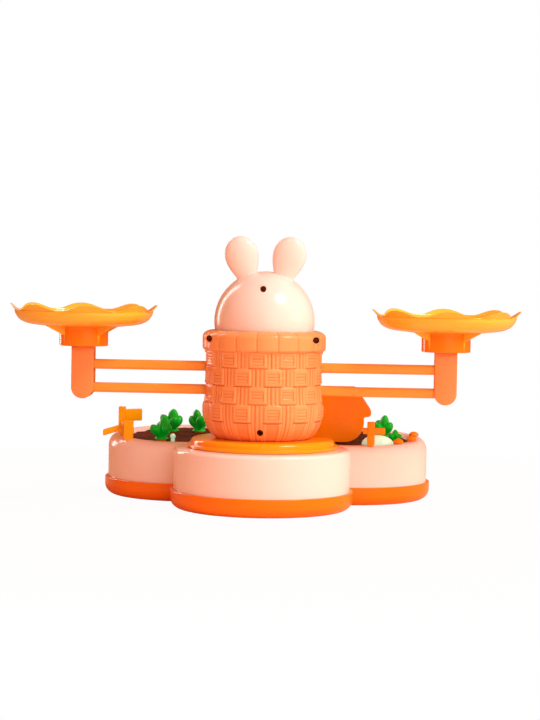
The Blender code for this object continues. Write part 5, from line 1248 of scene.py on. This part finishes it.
def make_carrots():
    """Six carrots: a crown with fat leaves over the soil, and a ringed root in it."""
    for index, (x, y, scale, turn) in enumerate(CARROTS, 1):
        name, seat = f"carrot_{index}", plant_seat(y)
        places = []
        for lean, way, share in LEAVES:
            pose = rotation(turn, "Z") @ rotation(way, "Z") @ rotation(lean, "Y")
            size = (0.0080 * scale, 0.0098 * scale, LEAF_LENGTH * share * scale)
            places.append(((x, y, seat + 0.0002), pose, size))
        leaves = copies(f"{name}_leaf_cluster", form("leaf", leaf_shape, shift=0.0), places, LEAF_GREEN)
        radius, height = CROWN_RADIUS * scale, CROWN_HEIGHT * scale
        dome = [(radius * c, height * s) for c, s in round_steps(0.0, 90.0, 8)[:-1]]
        crown = [(0.0, 0.0)] + dome + [(0.0, height)]
        weld(leaves, turned, crown, 32, Matrix.Translation((x, y, seat)))
        dress(leaves, name, LEAF_GREEN, "leaf_green", f"{name}_leaves", angle=50.0)
        length = ROOT_LENGTH * scale
        profile = [(0.0, seat - GAP)]
        for t in (k / 24 for k in range(25)):
            groove = 0.00012 * abs(math.sin(7 * math.pi * t))
            radius = ROOT_RADIUS * scale * (1 - 0.1 * t - 0.62 * t**2.4) - groove
            profile.append((max(radius, 0.0002), seat - GAP - length * t * 0.985))
        profile.append((0.0, seat - length))
        root = form(f"{name}_root_body", turned, profile, 32, Matrix.Translation((x, y, 0.0)))
        dress(root, name, CARROT, "carrot_orange", f"{name}_root")


def make_sign():
    """The house-shaped board, rounded all round, on a tab in the soil."""
    x, y = SIGN_AT
    foot, corner = plant_seat(y), 0.015
    half = arc((0.032 - corner, corner), corner, -90.0, 0.0, 24) + [
        (0.032, 0.0180), (0.0323, 0.0190), (0.0332, 0.0195), (0.0350, 0.0195), (0.0364, 0.0200),
        (0.0373, 0.0213), (0.0374, 0.0235), (0.0366, 0.0257), (0.0262, 0.0412), (0.0252, 0.0421),
        (0.0238, 0.0425),
    ]
    outline = [(x + way, foot + z) for way, z in half] + [(x - way, foot + z) for way, z in reversed(half)]
    sign = form("house_board", plate, outline, 0.00175, y, 0.0006)
    weld(sign, block, (x - 0.010, y - 0.00175, foot - 0.004), (x + 0.010, y + 0.00175, foot + 0.001))
    dress(sign, "base", SIGN_ORANGE, "sign_orange", "house_sign")


def make_fences():
    """The cross post on the right rim and the two-post fence on the left one."""
    x, y = CROSS_AT
    foot = trim_foot(y)
    low = foot - 2 * GAP + 0.009
    cross = form("cross_post", post_block, CROSS_AT, 0.0028, foot, foot + 0.0175, 0.0007)
    weld(cross, rail_block, (x - 0.00605, y), (x + 0.01045, y), low, low + RAIL_HEIGHT)
    weld(cross, upright, 0.0016, CROSS_AT, foot - TRIM_PEG_LENGTH, foot + 0.003)
    dress(cross, "base", SIGN_ORANGE, "sign_orange", "right_fence")

    near_foot, far_foot = trim_foot(FENCE_NEAR[1]), trim_foot(FENCE_FAR[1])
    near_top, far_top = near_foot + 0.0134, far_foot + 0.0214
    x, y = FENCE_FAR
    high, shelf, joined = far_top - 0.0021, far_top - 0.0134, near_top - 0.0021
    fence = form("garden_fence", post_block, FENCE_NEAR, 0.0034, near_foot, near_top)
    weld(fence, post_block, FENCE_NEAR, 0.0034, near_foot - 0.0016, near_top, 0.0005, 0.0030, -0.0008)
    weld(fence, post_block, FENCE_FAR, 0.0026, far_foot, far_top, 0.0006)
    weld(fence, rail_block, FENCE_FAR, (x + 0.0135, y + 0.0101), high - 0.009, high)
    weld(fence, rail_block, FENCE_FAR, (x - 0.0140, y - 0.0035), shelf - RAIL_HEIGHT, shelf, 0.0042)
    weld(fence, rail_block, FENCE_NEAR, FENCE_FAR, joined - RAIL_HEIGHT, joined)
    for place, foot in ((FENCE_NEAR, near_foot), (FENCE_FAR, far_foot)):
        weld(fence, upright, 0.0016, place, foot - TRIM_PEG_LENGTH, foot + 0.003)
    dress(fence, "base", FENCE_YELLOW, "fence_yellow", "left_fence")


def marker_shape(bm):
    """A small round-topped marker on its peg."""
    edge, peg = 0.0005, 0.0014
    profile = [(0.0, -TRIM_PEG_LENGTH), (peg, -TRIM_PEG_LENGTH), (peg, 0.0), (MARKER_RADIUS - edge, 0.0)]
    profile += arc((MARKER_RADIUS - edge, edge), edge, -90.0, 0.0, 4)[1:]
    rise = MARKER_HEIGHT - edge
    profile += [(MARKER_RADIUS * c, edge + rise * s) for c, s in round_steps(0.0, 90.0, 12)[1:-1]]
    turned(bm, profile + [(0.0, MARKER_HEIGHT)], 40)


def make_markers():
    """Three small round-topped markers on the right rim."""
    places = []
    for angle in (-42.0, -20.0, 9.0):
        x, y = arc(SIDE_LOBE[0], 0.0515, angle, angle, 1)[0]
        places.append(((x, y, trim_foot(y)), AS_IS, (1.0,) * 3))
    markers = copies("rim_markers", form("marker", marker_shape, shift=0.0), places, SIGN_ORANGE)
    dress(markers, "base", SIGN_ORANGE, "sign_orange", "marker_dome_1", "marker_dome_2", "marker_dome_3")


def make_mound_and_bud():
    """The pale mound in the right garden and the pale bud in the left one."""
    x, y = MOUND_AT
    seat = plant_seat(y + MOUND_RADII[1])

    def mound_shape(bm):
        profile = [(0.0, 0.0)] + round_steps(0.0, 90.0, 20)[:-1] + [(0.0, 1.0)]
        centre = Vector((x, y, seat))
        turned(bm, profile, 64, Matrix.Translation(centre) @ Matrix.Diagonal((*MOUND_RADII, 1.0)))
        for vert in bm.verts:
            way = vert.co - centre
            share = min(1.0, max(0.0, way.z / MOUND_RADII[2]))
            lump = 1 - 0.06 * (1 - share) * (0.5 - 0.5 * math.cos(7 * math.atan2(way.y, way.x)))
            vert.co = centre + way * lump

    dress(form("pale_tussock", mound_shape), "base", PALE_GREEN, "pale_green", "pale_mound")
    x, y = BUD_AT
    seat = plant_seat(y)
    top = seat + BUD_STEM_HEIGHT + BUD_RADIUS
    bud = form("pale_sprout", ball, Matrix.Translation((x, y, top)) @ Matrix.Scale(BUD_RADIUS, 4), 32)
    weld(bud, rod, 0.0015, (x, y, seat - 0.0037), (x, y, top - GAP), 24)
    dress(bud, "base", PALE_GREEN, "pale_green", "pale_bud")


# Fasteners and feet


def screw_shape(bm):
    """A pan-head screw, its bearing face at the origin and its shank along +Z."""
    profile = [(0.0, -0.0016), (0.0012, -0.0016)]
    profile += arc((0.0013, -0.0008), 0.0008, -90.0, 0.0, 5)
    profile += [(0.0021, 0.0), (0.0014, 0.0), (0.0014, 0.0085), (0.0, 0.010)]
    turned(bm, profile, 28)


def cross_slots(bm):
    block(bm, (-0.0012, -0.00022 - AXIS_Y, -0.002), (0.0012, 0.00022 - AXIS_Y, -0.0009))
    block(bm, (-0.00022, -0.0012 - AXIS_Y, -0.002), (0.00022, 0.0012 - AXIS_Y, -0.00092))


def make_screws():
    """All the case screws, each with a cross recess in its head."""
    shape = form("screw", screw_shape, shift=0.0)
    cut(shape, cross_slots)
    forward = along((0.0, 1.0, 0.0), (0.0, 0.0, 0.0))
    full, short = (1.0,) * 3, (1.0, 1.0, 0.8)
    seat = -SCREW_SEAT - GAP
    places = [((x, y, FOOT_HEIGHT + BASE_SCREW_DEPTH - GAP), AS_IS, full) for x, y in BASE_SCREWS]
    places += [((x, 0.0, DECK_TOP - COVER_WALL - GAP), AS_IS, short) for x in (-0.035, 0.035)]
    places += [((x, seat, RIM_HOLE_Z), forward, full) for x in (-RIM_HOLE_X, RIM_HOLE_X)]
    places += [((0.0, seat, z), forward, full) for z in (LOW_HOLE_Z, HEAD_Z + HEAD_HOLE_RISE)]
    nodes = [f"base_screw_{k}" for k in range(1, 6)] + ["disc_screw_left", "disc_screw_right"]
    nodes += ["basket_screw_left", "basket_screw_right", "basket_screw_low", "head_screw"]
    dress(copies("case_screws", shape, places, STEEL), "base", STEEL, "screw_steel", *nodes)


def make_feet():
    """The four rubber pads."""
    top = (0.0, 0.0, FOOT_HEIGHT + FOOT_RECESS - GAP)
    shape = form("pad", rod, FOOT_RADIUS, (0.0, 0.0, 0.0), top, 48, 0.0004, shift=0.0)
    feet = copies("rubber_pads", shape, [((x, y, 0.0), AS_IS, (1.0,) * 3) for x, y in FEET], RUBBER)
    dress(feet, "base", RUBBER, "foot_rubber", *[f"rubber_foot_{k}" for k in range(1, 5)])


def make_pins():
    """The pivot pins keep their own shape and get their steel."""
    for name in ("upper_pivot_pin", "lower_pivot_pin"):
        coat(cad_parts[name], STEEL)


# Stage, light and camera


def camera_mix(tree, share, plain, seen, end):
    """Ends a tree with one shader for the light and another, by a share, for what the camera sees."""
    mix = add(tree, "ShaderNodeMixShader", {0: share, 1: plain.outputs[0], 2: seen.outputs[0]})
    add(tree, end, {"Surface": mix.outputs[0]})


def make_floor():
    """A plain white floor that keeps the object's soft shadow."""
    bm = bmesh.new()
    bmesh.ops.create_circle(bm, cap_ends=True, segments=96, radius=6.0)
    mesh = bpy.data.meshes.new("floor")
    bm.to_mesh(mesh)
    bm.free()
    made = new_material("pale_floor")
    tree = made.node_tree
    tree.nodes.clear()
    place = tree.nodes.new("ShaderNodeTexCoord").outputs["Object"]
    reach = Field(add(tree, "ShaderNodeVectorMath", {0: place}, operation="LENGTH").outputs["Value"])
    far = ((reach - 0.20) / 0.35).within(0.0, 1.0)
    share = Field(tree.nodes.new("ShaderNodeLightPath").outputs["Is Camera Ray"]) * (far * 0.03 + 0.97)
    plain = add(tree, "ShaderNodeBsdfDiffuse", {"Color": (0.85, 0.64, 0.48, 1.0)})
    white = add(tree, "ShaderNodeEmission", {"Color": (1.0, 1.0, 1.0, 1.0)})
    camera_mix(tree, share, plain, white, "ShaderNodeOutputMaterial")
    mesh.materials.append(made)
    link("floor", mesh)


def area_light(name, at, target, size, power, colour, shines=True, fills=True):
    """A rectangular lamp; shines off: no reflection of it, fills off: only its reflection."""
    data = bpy.data.lights.new(name, "AREA")
    data.shape = "RECTANGLE"
    data.size, data.size_y = size
    data.energy = power
    data.color = colour
    lamp = link(name, data)
    lamp.location = at
    lamp.rotation_mode = "QUATERNION"
    lamp.rotation_quaternion = (Vector(target) - Vector(at)).to_track_quat("-Z", "Y")
    lamp.visible_glossy = shines
    lamp.visible_diffuse = fills


def make_light():
    """A key and a soft wall from the right, a front fill, a far left edge and a warm room all round."""
    warm = (1.0, 0.97, 0.95)
    area_light("key", (0.92, -0.60, 1.44), (0.02, 0.0, 0.10), (0.48, 0.48), 15.0, (1.0, 0.99, 0.97))
    area_light(
        "right_side", (1.25, -0.20, 0.65), (0.02, 0.0, 0.06), (0.8, 0.8), 7.0, (1.0, 0.98, 0.96), shines=False
    )
    area_light("front", (0.60, -1.5, 0.40), (0.0, 0.0, 0.08), (1.3, 0.9), 11.0, warm, shines=False)
    area_light("left_edge", (-0.85, 0.70, 0.55), (-0.02, 0.0, 0.12), (0.22, 1.1), 5.0, warm, fills=False)
    world = bpy.data.worlds.new("pale_room")
    bpy.context.scene.world = world
    world.use_nodes = True
    tree = world.node_tree
    tree.nodes.clear()
    lighting = add(tree, "ShaderNodeBackground", {"Color": (0.70, 0.27, 0.14, 1.0), "Strength": 0.95})
    seen = add(tree, "ShaderNodeBackground", {"Color": (1.0, 1.0, 1.0, 1.0), "Strength": 1.0})
    share = tree.nodes.new("ShaderNodeLightPath").outputs["Is Camera Ray"]
    camera_mix(tree, share, lighting, seen, "ShaderNodeOutputWorld")


def make_camera():
    """The camera at the photograph's angle."""
    focal_px, picture_px, sensor = 1957.7, 720.0, 36.0
    place = Vector((0.0686, -1.4212 + AXIS_Y, 0.1773))
    yaw, pitch, roll = -0.0451, -0.0481, 0.0165
    forward = Vector((math.sin(yaw) * math.cos(pitch), math.cos(yaw) * math.cos(pitch), math.sin(pitch)))
    right = Vector((math.cos(yaw), -math.sin(yaw), 0.0))
    up = right.cross(forward)
    across = right * math.cos(roll) + up * math.sin(roll)
    upward = up * math.cos(roll) - right * math.sin(roll)
    turn = Matrix((across, upward, -forward)).transposed()
    data = bpy.data.cameras.new("camera")
    data.sensor_width = sensor
    data.lens = focal_px * sensor / picture_px
    data.clip_start = 0.05
    camera = link("camera", data)
    camera.matrix_world = Matrix.Translation(place) @ turn.to_4x4()
    bpy.context.scene.camera = camera


for make in (
    make_bottom_shell, make_cover_shell, make_pedestal_disc, make_basket, make_head, make_ears, make_face,
    make_bars, make_posts, make_trays, make_soil_beds, make_carrots, make_sign, make_fences, make_markers,
    make_mound_and_bud, make_screws, make_feet, make_pins, make_floor, make_light, make_camera,
):
    make()
bpy.context.scene.view_settings.view_transform = "Standard"
